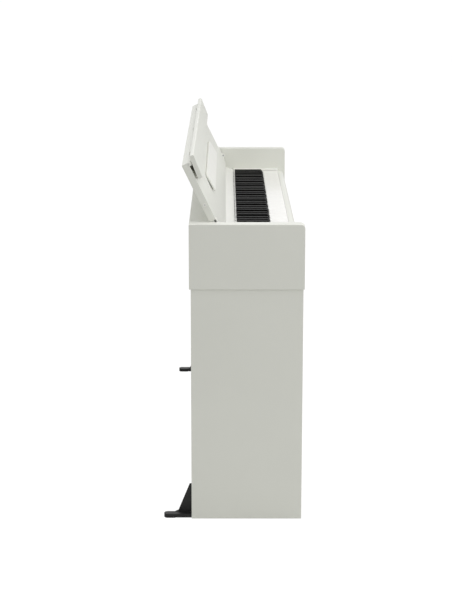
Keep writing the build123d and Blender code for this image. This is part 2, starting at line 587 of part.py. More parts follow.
with BuildPart() as flap_hinge_lid_leaves:
    hinge = (FLAP_HINGE_UP, 0)
    for centre in HINGE_XS:
        start, end = centre - HINGE_LENGTH / 2, centre + HINGE_LENGTH / 2
        low, high = (LID_LEAF_LOW, INNER_FACE), (LID_LEAF_HIGH, INNER_FACE + LEAF)
        sheet(LID_SIDE, low, high, start, end)
        for start, end in knuckle_spans(centre, (0, 2, 4)):
            disc(LID_SIDE, hinge, KNUCKLE_RADIUS, start, end)
            sheet(LID_SIDE, (LID_WEB_LOW, INNER_FACE), (FLAP_HINGE_UP, LID_WEB_OUT), start, end)
            disc(LID_SIDE, hinge, SMALL_PIN, start, end, Mode.SUBTRACT)
flap_hinge_lid_leaves.part.label = "flap_hinge_lid_leaves"
export_step(flap_hinge_lid_leaves.part, "parts/flap_hinge_lid_leaves.step")

with BuildPart() as flap_hinge_flap_leaves:
    for centre in HINGE_XS:
        start, end = centre - HINGE_LENGTH / 2, centre + HINGE_LENGTH / 2
        low, high = (-SMALL_PIN, -FLAP_NEAR), (FLAP_LEAF_REACH, -FLAP_NEAR + LEAF)
        sheet(FLAP_SIDE, low, high, start, end)
        for start, end in knuckle_spans(centre, (1, 3)):
            disc(FLAP_SIDE, (0, 0), KNUCKLE_RADIUS, start, end)
            sheet(FLAP_SIDE, (-SMALL_PIN, -FLAP_NEAR), (SMALL_PIN, 0), start, end)
            disc(FLAP_SIDE, (0, 0), SMALL_PIN + RUNNING, start, end, Mode.SUBTRACT)
flap_hinge_flap_leaves.part.label = "flap_hinge_flap_leaves"
export_step(flap_hinge_flap_leaves.part, "parts/flap_hinge_flap_leaves.step")

with BuildPart() as flap_hinge_pins:
    for centre in HINGE_XS:
        start, end = centre - HINGE_LENGTH / 2, centre + HINGE_LENGTH / 2
        disc(LID_SIDE, (FLAP_HINGE_UP, 0), SMALL_PIN, start, end)
flap_hinge_pins.part.label = "flap_hinge_pins"
export_step(flap_hinge_pins.part, "parts/flap_hinge_pins.step")

BUMPER_XS = (-628.0, -240.0, 240.0, 628.0)
BUMPER_REACH, BUMPER_RADIUS, BUMPER_THICKNESS = 38.0, 4.0, 5.2
with BuildPart() as flap_bumpers:
    seat = FLAP_SIDE.from_local_coords((BUMPER_REACH, -FLAP_NEAR, 0))
    face = Plane(seat, z_dir=FLAP_SIDE.y_dir, x_dir=(1, 0, 0))
    with BuildSketch(face):
        with Locations(*[(x, 0) for x in BUMPER_XS]):
            Circle(BUMPER_RADIUS)
    extrude(amount=BUMPER_THICKNESS)
flap_bumpers.part.label = "flap_bumpers"
export_step(flap_bumpers.part, "parts/flap_bumpers.step")

LEDGE_START, LEDGE_BACK = 3.0, 0.4
LEDGE_EYE_WIDTH, EAR_GAP, EAR_WIDTH = 20.0, 0.3, 5.0
LEDGE_PIN = 1.3
LEDGE_HINGE_XS = (-260.0, 0.0, 260.0)
with BuildPart() as music_ledge:
    low, high = (LEDGE_START, LEDGE_BACK), (LEDGE_LENGTH, LEDGE_BACK + LEDGE_THICKNESS)
    sheet(LEDGE_SIDE, low, high, -LEDGE_HALF_WIDTH, LEDGE_HALF_WIDTH)
    through = Axis((0, 0, 0), LEDGE_SIDE.y_dir)
    fillet(music_ledge.edges().filter_by(through).group_by(Axis.Z)[-1], LEDGE_CORNER)
    for x in LEDGE_HINGE_XS:
        start, end = x - LEDGE_EYE_WIDTH / 2, x + LEDGE_EYE_WIDTH / 2
        disc(LEDGE_SIDE, (0, 0), LEDGE_EYE, start, end)
        sheet(LEDGE_SIDE, (0, LEDGE_BACK), (LEDGE_START, LEDGE_EYE), start, end)
        disc(LEDGE_SIDE, (0, 0), LEDGE_PIN + RUNNING, start, end, Mode.SUBTRACT)
music_ledge.part.label = "music_ledge"
export_step(music_ledge.part, "parts/music_ledge.step")

with BuildPart() as ledge_hinge_blocks:
    for x in LEDGE_HINGE_XS:
        reach = LEDGE_EYE_WIDTH / 2 + EAR_GAP
        for start, end in ((x - reach - EAR_WIDTH, x - reach), (x + reach, x + reach + EAR_WIDTH)):
            disc(LID_SIDE, (LEDGE_HINGE_UP, LEDGE_HINGE_OUT), LEDGE_EYE, start, end)
            low = (LEDGE_HINGE_UP - LEDGE_EYE, INNER_FACE)
            sheet(LID_SIDE, low, (LEDGE_HINGE_UP + LEDGE_EYE, LEDGE_HINGE_OUT), start, end)
        disc(LID_SIDE, (LEDGE_HINGE_UP, LEDGE_HINGE_OUT), LEDGE_PIN, x - reach, x + reach)
ledge_hinge_blocks.part.label = "ledge_hinge_blocks"
export_step(ledge_hinge_blocks.part, "parts/ledge_hinge_blocks.step")


# ---- lower stand and pedals ----
BACK_BOARD_REAR, BACK_BOARD_FRONT, BACK_BOARD_BOTTOM = 22.0, 37.0, 330.0
with BuildPart() as back_board:
    slab(LEG_INNER_X, BACK_BOARD_REAR, BACK_BOARD_FRONT, BACK_BOARD_BOTTOM, ARM_BOTTOM)
    chamfer(along_x(back_board).group_by(Axis.Z)[0], EDGE / 2)
back_board.part.label = "back_board"
export_step(back_board.part, "parts/back_board.step")

RAIL_BACK, RAIL_LOW, RAIL_HIGH = 22.0, 44.0, 150.0
with BuildPart() as pedal_rail:
    slab(LEG_INNER_X, RAIL_BACK, BOX_REAR, RAIL_LOW, RAIL_HIGH)
    fillet(along_x(pedal_rail), EDGE)
pedal_rail.part.label = "pedal_rail"
export_step(pedal_rail.part, "parts/pedal_rail.step")

PEDAL_SLOT_HALF, PEDAL_SLOT_LOW, PEDAL_SLOT_HIGH = 14.0, 66.0, 93.0
PEDAL_XS = (-PEDAL_SPACING, 0.0, PEDAL_SPACING)
FOOT_DEPTH, FOOT_STEM, FOOT_STEM_TOP = 88.0, 5.0, 64.0
FOOT_NUT_RADIUS = 10.0
with BuildPart() as pedal_box:
    slab(BOX_HALF_WIDTH, BOX_REAR, BOX_FRONT, BOX_BOTTOM, BOX_TOP)
    fillet(along_x(pedal_box).group_by(Axis.Z)[-1].sort_by(Axis.Y)[0], ARM_CORNER)
    inner = BOX_HALF_WIDTH - BOX_WALL
    slab(inner, BOX_REAR, BOX_FRONT - BOX_WALL, BOX_BOTTOM + BOX_WALL, BOX_TOP - BOX_WALL, Mode.SUBTRACT)
    for x in PEDAL_XS:
        low = (x - PEDAL_SLOT_HALF, at(BOX_FRONT), PEDAL_SLOT_LOW)
        block(low, (x + PEDAL_SLOT_HALF, at(BOX_FRONT - BOX_WALL), PEDAL_SLOT_HIGH), Mode.SUBTRACT)
    drum(0, at(FOOT_DEPTH), BOX_BOTTOM, FOOT_STEM_TOP, FOOT_NUT_RADIUS)
    drum(0, at(FOOT_DEPTH), BOX_BOTTOM, FOOT_STEM_TOP, FOOT_STEM, Mode.SUBTRACT)
    half = BOX_HALF_WIDTH
    rod(-half, half, at(PEDAL_ROD_DEPTH), PEDAL_ROD_Z, PEDAL_ROD_RADIUS, Mode.SUBTRACT)
pedal_box.part.label = "pedal_box"
export_step(pedal_box.part, "parts/pedal_box.step")

with BuildPart() as pedal_pivot_rod:
    half = BOX_HALF_WIDTH
    rod(-half, half, at(PEDAL_ROD_DEPTH), PEDAL_ROD_Z, PEDAL_ROD_RADIUS)
pedal_pivot_rod.part.label = "pedal_pivot_rod"
export_step(pedal_pivot_rod.part, "parts/pedal_pivot_rod.step")

PEDAL_BOTTOM, PEDAL_TOP, PEDAL_EDGE = 79.5, 87.5, 1.5
SHANK_REAR, SHANK_FRONT, SHANK_HALF = 50.0, 122.0, 8.0
SOLE_REAR, SOLE_HALF = 150.0, 12.0
HUB_RADIUS = 8.0


def pedal_outline(x):
    """Draw one pedal from above: a narrow shank that widens to a round-ended sole."""
    left_sole = (x - SOLE_HALF, at(PEDAL_FRONT - SOLE_HALF))
    right_sole = (x + SOLE_HALF, at(PEDAL_FRONT - SOLE_HALF))
    ThreePointArc(left_sole, (x, at(PEDAL_FRONT)), right_sole)
    Polyline(
        right_sole,
        (x + SOLE_HALF, at(SOLE_REAR)),
        (x + SHANK_HALF, at(SHANK_FRONT)),
        (x + SHANK_HALF, at(SHANK_REAR)),
        (x - SHANK_HALF, at(SHANK_REAR)),
        (x - SHANK_HALF, at(SHANK_FRONT)),
        (x - SOLE_HALF, at(SOLE_REAR)),
        left_sole,
    )


for name, x in zip(("soft_pedal", "sostenuto_pedal", "damper_pedal"), PEDAL_XS):
    with BuildPart() as pedal_lever:
        with BuildSketch(Plane.XY.offset(PEDAL_BOTTOM)):
            with BuildLine():
                pedal_outline(x)
            make_face()
        extrude(amount=PEDAL_TOP - PEDAL_BOTTOM)
        fillet(pedal_lever.faces().sort_by(Axis.Z)[-1].edges(), PEDAL_EDGE)
        low, high = x - SHANK_HALF, x + SHANK_HALF
        rod(low, high, at(PEDAL_ROD_DEPTH), PEDAL_ROD_Z, HUB_RADIUS)
        hole = PEDAL_ROD_RADIUS + RUNNING
        rod(low, high, at(PEDAL_ROD_DEPTH), PEDAL_ROD_Z, hole, Mode.SUBTRACT)
    pedal_lever.part.label = name
    export_step(pedal_lever.part, f"parts/{name}.step")

SPRING_INNER, SPRING_OUTER, SPRING_GAP, SPRING_LENGTH = 4.6, 6.4, 1.0, 12.0
with BuildPart() as pedal_springs:
    for x in PEDAL_XS:
        start = x + SHANK_HALF + SPRING_GAP
        y, z = at(PEDAL_ROD_DEPTH), PEDAL_ROD_Z
        rod(start, start + SPRING_LENGTH, y, z, SPRING_OUTER)
        rod(start, start + SPRING_LENGTH, y, z, SPRING_INNER, Mode.SUBTRACT)
pedal_springs.part.label = "pedal_springs"
export_step(pedal_springs.part, "parts/pedal_springs.step")

FOOT_RADIUS, FOOT_HEIGHT, FOOT_GRIPS, GRIP_RADIUS = 15.0, 14.0, 12, 1.5
with BuildPart() as pedal_box_foot:
    drum(0, at(FOOT_DEPTH), 0, FOOT_HEIGHT, FOOT_RADIUS)
    with BuildSketch(Plane.XY):
        with Locations((0, at(FOOT_DEPTH))):
            with PolarLocations(FOOT_RADIUS, FOOT_GRIPS):
                Circle(GRIP_RADIUS)
    extrude(amount=FOOT_HEIGHT, mode=Mode.SUBTRACT)
    drum(0, at(FOOT_DEPTH), FOOT_HEIGHT, FOOT_STEM_TOP, FOOT_STEM - RUNNING)
pedal_box_foot.part.label = "pedal_box_foot"
export_step(pedal_box_foot.part, "parts/pedal_box_foot.step")


# ---- rear stabilisers ----
PLATE_FRONT, PLATE_REAR, PLATE_BOTTOM, PLATE_CORNER = 21.5, -1.0, 5.0, 8.0
GUSSET_FOOT, WEB_FILLET = 14.0, 8.0
BAR_REAR, BAR_FRONT = -STABILIZER_REACH, LEG_REAR - 0.5
PAD_FRONT = BAR_REAR + PAD_LENGTH
SCREWS = ((13.0, 20.0), (13.0, 45.0), (13.0, 70.0))
SCREW_RADIUS, SCREW_HEAD = 4.5, 2.6


def round_ended(front, bottom, top):
    """Add a flat bar from this depth to the stabiliser's rounded rear end."""
    outer, inner = BAR_OUTER_X, LEG_INNER_X
    radius = (outer - inner) / 2
    with BuildSketch(Plane.XY.offset(bottom)) as outline:
        with BuildLine():
            outer_rear = (outer, at(BAR_REAR + radius))
            inner_rear = (inner, at(BAR_REAR + radius))
            ThreePointArc(outer_rear, (outer - radius, at(BAR_REAR)), inner_rear)
            Polyline(inner_rear, (inner, at(front)), (outer, at(front)), outer_rear)
        make_face()
    extrude(outline.sketch, amount=top - bottom)


with BuildPart() as right_stabilizer:
    round_ended(BAR_FRONT, PAD_TOP, BAR_TOP)
    low = (LEG_INNER_X, at(BAR_FRONT), BAR_BOTTOM)
    block(low, (BAR_OUTER_X, at(PAD_FRONT), PAD_TOP))
    outline = (
        (at(PLATE_FRONT), PLATE_BOTTOM),
        (at(PLATE_FRONT), GUSSET_TOP),
        (at(PLATE_REAR), GUSSET_TOP),
        (at(-GUSSET_REACH), GUSSET_FOOT),
        (at(-GUSSET_REACH - WEB_FILLET), BAR_TOP),
        (at(-GUSSET_REACH - WEB_FILLET), PLATE_BOTTOM),
    )
    profile(SIDE, outline, LEG_INNER_X - PLATE, LEG_INNER_X)
    plate_edges = along_x(right_stabilizer)
    corner = plate_edges.sort_by_distance((LEG_INNER_X, at(PLATE_FRONT), GUSSET_TOP))[0]
    fillet(corner, PLATE_CORNER)
right_stabilizer.part.label = "right_stabilizer"
export_step(right_stabilizer.part, "parts/right_stabilizer.step")

with BuildPart() as left_stabilizer:
    mirror(right_stabilizer.part, about=Plane.YZ)
left_stabilizer.part.label = "left_stabilizer"
export_step(left_stabilizer.part, "parts/left_stabilizer.step")

with BuildPart() as stabilizer_pads:
    round_ended(PAD_FRONT, 0, PAD_TOP)
    mirror(about=Plane.YZ)
stabilizer_pads.part.label = "stabilizer_pads"
export_step(stabilizer_pads.part, "parts/stabilizer_pads.step")

with BuildPart() as stabilizer_screws:
    face = LEG_INNER_X - PLATE
    for depth, z in SCREWS:
        rod(face - SCREW_HEAD, face, at(depth), z, SCREW_RADIUS)
    fillet(stabilizer_screws.edges().group_by(Axis.X)[0], EDGE)
    mirror(about=Plane.YZ)
stabilizer_screws.part.label = "stabilizer_screws"
export_step(stabilizer_screws.part, "parts/stabilizer_screws.step")
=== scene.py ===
"""A slim upright digital piano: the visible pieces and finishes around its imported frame.

+X is the treble end, +Y the rear and +Z up, in metres. A piece that stands for a CAD node takes that
node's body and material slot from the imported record.
"""

import json
import math

import bmesh
import bpy
from bpy.props import FloatProperty, FloatVectorProperty, PointerProperty
from mathutils import Matrix, Vector


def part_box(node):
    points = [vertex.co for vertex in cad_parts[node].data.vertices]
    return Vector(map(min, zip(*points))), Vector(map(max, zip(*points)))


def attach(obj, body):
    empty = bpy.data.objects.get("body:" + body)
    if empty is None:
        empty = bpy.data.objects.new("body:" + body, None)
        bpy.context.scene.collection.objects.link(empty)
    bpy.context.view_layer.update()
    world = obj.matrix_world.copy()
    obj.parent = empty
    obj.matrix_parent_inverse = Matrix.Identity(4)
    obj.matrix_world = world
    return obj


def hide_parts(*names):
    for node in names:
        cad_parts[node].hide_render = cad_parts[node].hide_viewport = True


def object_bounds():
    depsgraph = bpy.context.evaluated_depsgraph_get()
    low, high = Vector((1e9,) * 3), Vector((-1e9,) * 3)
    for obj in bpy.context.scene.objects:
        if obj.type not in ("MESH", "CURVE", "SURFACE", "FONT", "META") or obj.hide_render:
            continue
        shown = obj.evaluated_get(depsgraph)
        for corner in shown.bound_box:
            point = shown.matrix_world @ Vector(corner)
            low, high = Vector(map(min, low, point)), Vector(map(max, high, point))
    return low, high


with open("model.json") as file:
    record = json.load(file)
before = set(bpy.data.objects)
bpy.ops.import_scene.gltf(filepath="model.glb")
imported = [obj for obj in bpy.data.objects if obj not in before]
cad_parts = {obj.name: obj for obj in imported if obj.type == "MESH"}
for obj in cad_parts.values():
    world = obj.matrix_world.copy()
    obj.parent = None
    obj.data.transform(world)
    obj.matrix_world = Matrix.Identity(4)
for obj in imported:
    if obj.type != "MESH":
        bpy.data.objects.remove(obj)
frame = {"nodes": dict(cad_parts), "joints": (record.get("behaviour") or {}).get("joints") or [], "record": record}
CAD_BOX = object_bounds()
SLOTS = {name: node.data.materials[0].name for name, node in frame["nodes"].items()}

bl_info = {
    "name": "Digital Piano on Stand",
    "version": (1, 0, 0),
    "blender": (4, 5, 0),
    "location": "View3D > Sidebar > Piano",
    "description": "Builds an upright digital piano's panels, keys, lid, pedals and fittings",
    "category": "Add Mesh",
}

MM = 0.001
TOUCH = 0.02 * MM
MERGE = TOUCH / 4
CRISP = math.radians(40)
FLAT = math.radians(1)
SMALL_STEPS = 2
EDGE_STEPS = 3
ROUND_STEPS = 8
NOISE_DETAIL = 3.0
NOISE_LOW, NOISE_HIGH = 0.35, 0.65
ROUGHNESS_SWING = 0.05

PITCHES = ("c", "c_sharp", "d", "d_sharp", "e", "f", "f_sharp", "g", "g_sharp", "a", "a_sharp", "b")
BLACK_PITCHES = (1, 3, 6, 8, 10)
FIRST_PITCH = 9
NOTES = 88
WHITE_KEYS = 52
# The keys and the whites from C to E and from F to B, and the whites below the lowest A in its octave.
LOW_KEYS, LOW_WHITES = 5, 3
HIGH_KEYS, HIGH_WHITES = 7, 4
WHITES_BELOW_A = 5

# The radius of each fitting's edges in millimetres, as its mould, press or cutter leaves them. 0 is sharp.
EDGE_RADII = {
    "left_end_block": 0.25,
    "key_strip": 1.0,
    "keybed": 0.3,
    "rear_cover": 0.3,
    "leg_glides": 0.4,
    "lid_hinge_brackets": 0.15,
    "lid_hinge_pins": 0.15,
    "lid_end_caps": 0.15,
    "flap_hinge_lid_leaves": 0.15,
    "flap_hinge_flap_leaves": 0.15,
    "flap_hinge_pins": 0.15,
    "ledge_hinge_blocks": 0.15,
    "power_button": 0,
    "function_button": 0.1,
    "headphone_box": 0.2,
    "power_inlet": 0.3,
    "pedal_box": 0.5,
    "pedal_pivot_rod": 0.5,
    "pedal_box_foot": 0.4,
    "left_stabilizer": 0.5,
    "right_stabilizer": 0.5,
    "stabilizer_pads": 0.6,
    "key_frame": 0,
    "key_pivot_rod": 0.5,
    "main_board": 0.2,
    "sensor_board": 0.2,
    "speaker_grilles": 0.4,
}


def linear(code):
    """The linear colour of an sRGB hex value such as e6e7df."""
    parts = [int(code[i:i + 2], 16) / 255 for i in (0, 2, 4)]
    return [c / 12.92 if c <= 0.04045 else ((c + 0.055) / 1.055) ** 2.4 for c in parts]


# ---- what a user would change ----
class PianoSizes(bpy.types.PropertyGroup):
    """Sizes of edges and of the parts that don't lie square to the frame"""

    panel_edge: FloatProperty(
        name="Panel edge", description="Radius of a foiled panel's edges", default=1.0 * MM, unit="LENGTH")
    arm_corner: FloatProperty(
        name="Arm corner", description="Radius of the arm's front top corner", default=11 * MM, unit="LENGTH")
    slip_round: FloatProperty(
        name="Key slip round", description="Radius of the key slip's front top edge", default=16 * MM,
        unit="LENGTH")
    slip_rear_edge: FloatProperty(
        name="Key slip rear edge", description="Radius of the key slip's edge beside the keys",
        default=0.3 * MM, unit="LENGTH")
    lid_lean: FloatProperty(
        name="Lid lean", description="How far the open lid leans back from upright",
        default=math.radians(25.7), unit="ROTATION", subtype="ANGLE")
    lid_thickness: FloatProperty(
        name="Lid thickness", description="Thickness of the lid panel", default=18 * MM, unit="LENGTH")
    lid_stand_off: FloatProperty(
        name="Lid stand-off", description="From the hinge line to the lid's inner face", default=3 * MM,
        unit="LENGTH")
    lid_below: FloatProperty(
        name="Lid below hinge", description="From the hinge line to the lid's lower edge", default=26 * MM,
        unit="LENGTH")
    lid_above: FloatProperty(
        name="Lid above hinge", description="From the hinge line to the lid's upper edge", default=196 * MM,
        unit="LENGTH")
    lid_heel: FloatProperty(
        name="Lid heel", description="Radius of the lid's lower outer edge", default=8 * MM, unit="LENGTH")
    flap_tilt: FloatProperty(
        name="Flap tilt", description="Angle of the folded flap to the lid", default=math.radians(4),
        unit="ROTATION", subtype="ANGLE")
    flap_overhang: FloatProperty(
        name="Flap overhang", description="How far the flap stands past its hinge", default=19 * MM,
        unit="LENGTH")
    flap_reach: FloatProperty(
        name="Flap reach", description="From the flap's hinge to its free edge", default=44 * MM,
        unit="LENGTH")
    flap_gap: FloatProperty(
        name="Flap gap", description="From the flap's hinge line to its inner face", default=5.4 * MM,
        unit="LENGTH")
    flap_thickness: FloatProperty(
        name="Flap thickness", description="Thickness of the flap", default=11.6 * MM, unit="LENGTH")
    flap_edge: FloatProperty(
        name="Flap edge", description="Radius of the flap's long edges", default=3 * MM, unit="LENGTH")
    ledge_tilt: FloatProperty(
        name="Ledge tilt", description="Angle of the folded music ledge to the lid",
        default=math.radians(3.5), unit="ROTATION", subtype="ANGLE")
    ledge_length: FloatProperty(
        name="Ledge length", description="From the ledge's hinge to its free edge", default=52 * MM,
        unit="LENGTH")
    ledge_thickness: FloatProperty(
        name="Ledge thickness", description="Thickness of the music ledge", default=5 * MM, unit="LENGTH")
    ledge_corner: FloatProperty(
        name="Ledge corner", description="Radius of the ledge's free corners", default=26 * MM, unit="LENGTH")
    key_gap: FloatProperty(
        name="Key gap", description="Gap between two white keys", default=1.0 * MM, unit="LENGTH")
    white_thickness: FloatProperty(
        name="White key height", description="Height of a white key's sides", default=20 * MM, unit="LENGTH")
    black_width: FloatProperty(
        name="Black key width", description="Width of a black key at its foot", default=11 * MM,
        unit="LENGTH")
    black_taper: FloatProperty(
        name="Black key taper", description="Width of a black key's top as a share of its foot", default=0.84)


class PianoColours(bpy.types.PropertyGroup):
    """Colours of the finishes"""

    foil: FloatVectorProperty(
        name="Foil", description="Foiled panels", subtype="COLOR", size=3, default=linear("e6e7df"))
    plastic: FloatVectorProperty(
        name="White plastic", description="Moulded white parts", subtype="COLOR", size=3,
        default=linear("efefe9"))
    white_key: FloatVectorProperty(
        name="White keys", description="Acrylic key tops", subtype="COLOR", size=3, default=linear("fcfbf7"))
    black_key: FloatVectorProperty(
        name="Black keys", description="Matt black key tops", subtype="COLOR", size=3,
        default=linear("0a0a0a"))


# ---- materials ----
def add_node(tree, kind, inputs=None, **settings):
    """Add one node, set its settings, and link or fill its inputs."""
    made = tree.nodes.new(kind)
    for name, value in settings.items():
        setattr(made, name, value)
    for name, value in (inputs or {}).items():
        if isinstance(value, bpy.types.NodeSocket):
            tree.links.new(value, made.inputs[name])
        else:
            made.inputs[name].default_value = value
    return made


def surface_noise(tree, period):
    """Noise fixed to the piece, with this period in metres along X, Y and Z."""
    place = add_node(tree, "ShaderNodeTexCoord").outputs["Object"]
    scale = [1 / size for size in period]
    scaled = add_node(tree, "ShaderNodeMapping", {"Vector": place, "Scale": scale}).outputs["Vector"]
    inputs = {"Vector": scaled, "Scale": 1.0, "Detail": NOISE_DETAIL}
    return add_node(tree, "ShaderNodeTexNoise", inputs).outputs["Fac"]


def spread(tree, value, low, high):
    """Noise stretched from its usual middle range to low and high."""
    inputs = {"Value": value, "From Min": NOISE_LOW, "From Max": NOISE_HIGH, "To Min": low, "To Max": high}
    return add_node(tree, "ShaderNodeMapRange", inputs).outputs["Result"]


def varied_colour(tree, value, colour, depth):
    """The colour, a little darker where the noise is low."""
    inputs = {0: spread(tree, value, 0.0, 1.0), 6: [c * (1 - depth) for c in colour] + [1], 7: [*colour, 1]}
    return add_node(tree, "ShaderNodeMix", inputs, data_type="RGBA").outputs[2]


def pressed(tree, height, depth):
    """The normal of a surface with this height pattern, depth in metres."""
    return add_node(tree, "ShaderNodeBump", {"Height": height, "Distance": depth}).outputs["Normal"]


def new_material(name, colour, roughness, normal_period, normal_depth, colour_period=0.06, colour_depth=0.03,
                 **sockets):
    """A principled material whose colour, roughness and surface each follow a pattern on the piece."""
    material = bpy.data.materials.new(name)
    material.use_nodes = True
    tree = material.node_tree
    tree.nodes.clear()
    broad = surface_noise(tree, (colour_period,) * 3)
    fine = surface_noise(tree, normal_period)
    shader = add_node(tree, "ShaderNodeBsdfPrincipled", {
        "Base Color": varied_colour(tree, broad, colour, colour_depth),
        "Roughness": spread(tree, fine, roughness - ROUGHNESS_SWING, roughness + ROUGHNESS_SWING),
        "Normal": pressed(tree, fine, normal_depth),
    })
    for socket, value in sockets.items():
        shader.inputs[socket.replace("_", " ")].default_value = value
    add_node(tree, "ShaderNodeOutputMaterial", {"Surface": shader.outputs["BSDF"]})
    return material


def melamine_foil(grain_axis):
    """Melamine foil on MDF: satin white, with a faint pore pressed along the panel's length."""
    # Real pores are about 0.2 mm wide: they are drawn 0.7 mm wide and 14 mm long so that they show.
    period = [0.7 * MM] * 3
    period["XYZ".index(grain_axis)] = 14 * MM
    colour = bpy.context.scene.piano_colours.foil
    return new_material(f"melamine_foil_{grain_axis.lower()}", colour, 0.4, period, 0.03 * MM,
                        colour_period=0.25, colour_depth=0.02, Coat_Weight=0.05)


def moulded_white():
    """White ABS from a lightly textured mould: a soft satin highlight."""
    colour = bpy.context.scene.piano_colours.plastic
    return new_material("moulded_white_abs", colour, 0.36, (0.6 * MM,) * 3, 0.02 * MM, colour_depth=0.02)


def key_acrylic():
    """Cast acrylic key tops: glossy with a clear skin, faintly cloudy like ivory."""
    colour = bpy.context.scene.piano_colours.white_key
    return new_material("cast_acrylic_key", colour, 0.2, (0.9 * MM, 12 * MM, 0.9 * MM), 0.004 * MM,
                        colour_period=0.02, colour_depth=0.02, Coat_Weight=0.4, Coat_Roughness=0.12, IOR=1.49)


def key_phenolic():
    """Black phenolic key tops, rubbed matt: fine scratches run along each key."""
    colour = bpy.context.scene.piano_colours.black_key
    return new_material("rubbed_black_phenolic", colour, 0.38, (0.35 * MM, 9 * MM, 0.35 * MM), 0.02 * MM,
                        colour_period=0.008, colour_depth=0.25, Specular_IOR_Level=0.08)


def powder_coat():
    """Black powder coat on steel: half-matt, with the low orange peel of baked powder."""
    return new_material("black_powder_coat", linear("161617"), 0.46, (1.6 * MM,) * 3, 0.06 * MM,
                        colour_depth=0.2)


def zinc_plate():
    """Bright zinc plate on drawn steel: a cool metal with drawing lines along X."""
    return new_material("bright_zinc_plate", linear("c4c6c8"), 0.28, (16 * MM, 0.3 * MM, 0.3 * MM), 0.01 * MM,
                        colour_period=0.01, colour_depth=0.12, Metallic=1.0, Anisotropic=0.3)


def nickel_plate():
    """Polished nickel plate on cast pedals: warm, nearly mirror bright, with faint foot wear."""
    return new_material("polished_nickel_plate", linear("d9d3c6"), 0.14, (5 * MM, 26 * MM, 5 * MM), 0.01 * MM,
                        colour_period=0.02, colour_depth=0.1, Metallic=1.0)


def moulded_black():
    """Black ABS from a spark-eroded mould: an even fine grain, low gloss."""
    return new_material("moulded_black_abs", linear("1c1c1d"), 0.45, (0.7 * MM,) * 3, 0.04 * MM,
                        colour_depth=0.15)


def black_rubber():
    """Moulded rubber: dull, with a dusty bloom."""
    return new_material("moulded_rubber", linear("181817"), 0.78, (1.2 * MM,) * 3, 0.05 * MM,
                        colour_period=0.012, colour_depth=0.3)


def clear_silicone():
    """Clear silicone bumpers: soft, milky and half see-through."""
    return new_material("clear_silicone", linear("eceae2"), 0.25, (1.5 * MM,) * 3, 0.01 * MM,
                        Transmission_Weight=0.5, IOR=1.41)


def solder_mask():
    """Green solder mask over copper: a glossy lacquer, lighter where tracks run below."""
    return new_material("green_solder_mask", linear("1f6b3f"), 0.3, (9 * MM, 1.1 * MM, 1.1 * MM), 0.03 * MM,
                        colour_period=0.003, colour_depth=0.35, Coat_Weight=0.3)


def pressed_paper():
    """Pressed paper pulp, dyed black: matt with short fibres."""
    return new_material("black_pressed_paper", linear("232220"), 0.88, (1.8 * MM, 0.5 * MM, 1.8 * MM),
                        0.08 * MM, colour_period=0.004, colour_depth=0.25)


def make_finishes():
    """Every material slot's finish, by the slot's name in the record."""
    return {
        "white_foil": melamine_foil("X"),
        "white_plastic": moulded_white(),
        "white_key": key_acrylic(),
        "black_key": key_phenolic(),
        "black_steel": powder_coat(),
        "bright_steel": zinc_plate(),
        "pedal_metal": nickel_plate(),
        "black_plastic": moulded_black(),
        "rubber": black_rubber(),
        "clear_rubber": clear_silicone(),
        "circuit_board": solder_mask(),
        "speaker_paper": pressed_paper(),
        "upright_foil": melamine_foil("Z"),
    }


# The finishes once they are made, and the slot of a finish that isn't a slot of its own.
FINISHES = {}
OTHER_SLOTS = {"upright_foil": "white_foil"}


# ---- the frame ----
def body_of(node):
    """The body that a CAD node belongs to."""
    return next(body for body, members in frame["record"]["behaviour"]["bodies"].items() if node in members)


def slot_of(node, finish=None):
    """The record's material slot for a piece: its CAD node's, or that of the finish it has instead."""
    return OTHER_SLOTS.get(finish, finish) or SLOTS[node]


def joint_place(name):
    """A point on a joint's axis at rest."""
    return Vector(next(joint["pos_m"] for joint in frame["joints"] if joint["name"] == name))


def sizes():
    """The sizes that a user can change."""
    return bpy.context.scene.piano_sizes


def lid_space(joint="lid_hinge", turn=0.0):
    """From a joint on the leaning lid to the frame: X along the hinge, -Y out of the lid, Z up it."""
    return Matrix.Translation(joint_place(joint)) @ Matrix.Rotation(turn - sizes().lid_lean, 4, "X")


# ---- mesh helpers ----
def finish_piece(name, bm, node, stands_for=True, finish=None):
    """Make the object, on the body and slot of a CAD node, and hide that node if the piece stands for it."""
    if not FINISHES:
        FINISHES.update(make_finishes())
    bmesh.ops.recalc_face_normals(bm, faces=bm.faces[:])
    mesh = bpy.data.meshes.new(name)
    bm.to_mesh(mesh)
    bm.free()
    mesh.shade_smooth()
    mesh.set_sharp_from_angle(angle=CRISP)
    mesh.materials.append(FINISHES[finish or slot_of(node)])
    piece = bpy.data.objects.new(name, mesh)
    bpy.context.scene.collection.objects.link(piece)
    piece.modifiers.new("even_faces", "WEIGHTED_NORMAL").keep_sharp = True
    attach(piece, body_of(node))
    if stands_for:
        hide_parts(node)
    return piece


def cuboid(bm, low, high):
    """A box between two opposite corners."""
    low, high = Vector(low), Vector(high)
    verts = bmesh.ops.create_cube(bm, size=1)["verts"]
    bmesh.ops.scale(bm, vec=high - low, verts=verts)
    bmesh.ops.translate(bm, vec=(low + high) / 2, verts=verts)


def bar(bm, start, end, radius, segments=32, end_radius=None):
    """A round bar between two points."""
    start, end = Vector(start), Vector(end)
    last = radius if end_radius is None else end_radius
    verts = bmesh.ops.create_cone(bm, cap_ends=True, segments=segments, radius1=radius, radius2=last,
                                  depth=(end - start).length)["verts"]
    turn = (end - start).to_track_quat("Z", "Y").to_matrix()
    bmesh.ops.rotate(bm, cent=(0, 0, 0), matrix=turn, verts=verts)
    bmesh.ops.translate(bm, vec=(start + end) / 2, verts=verts)


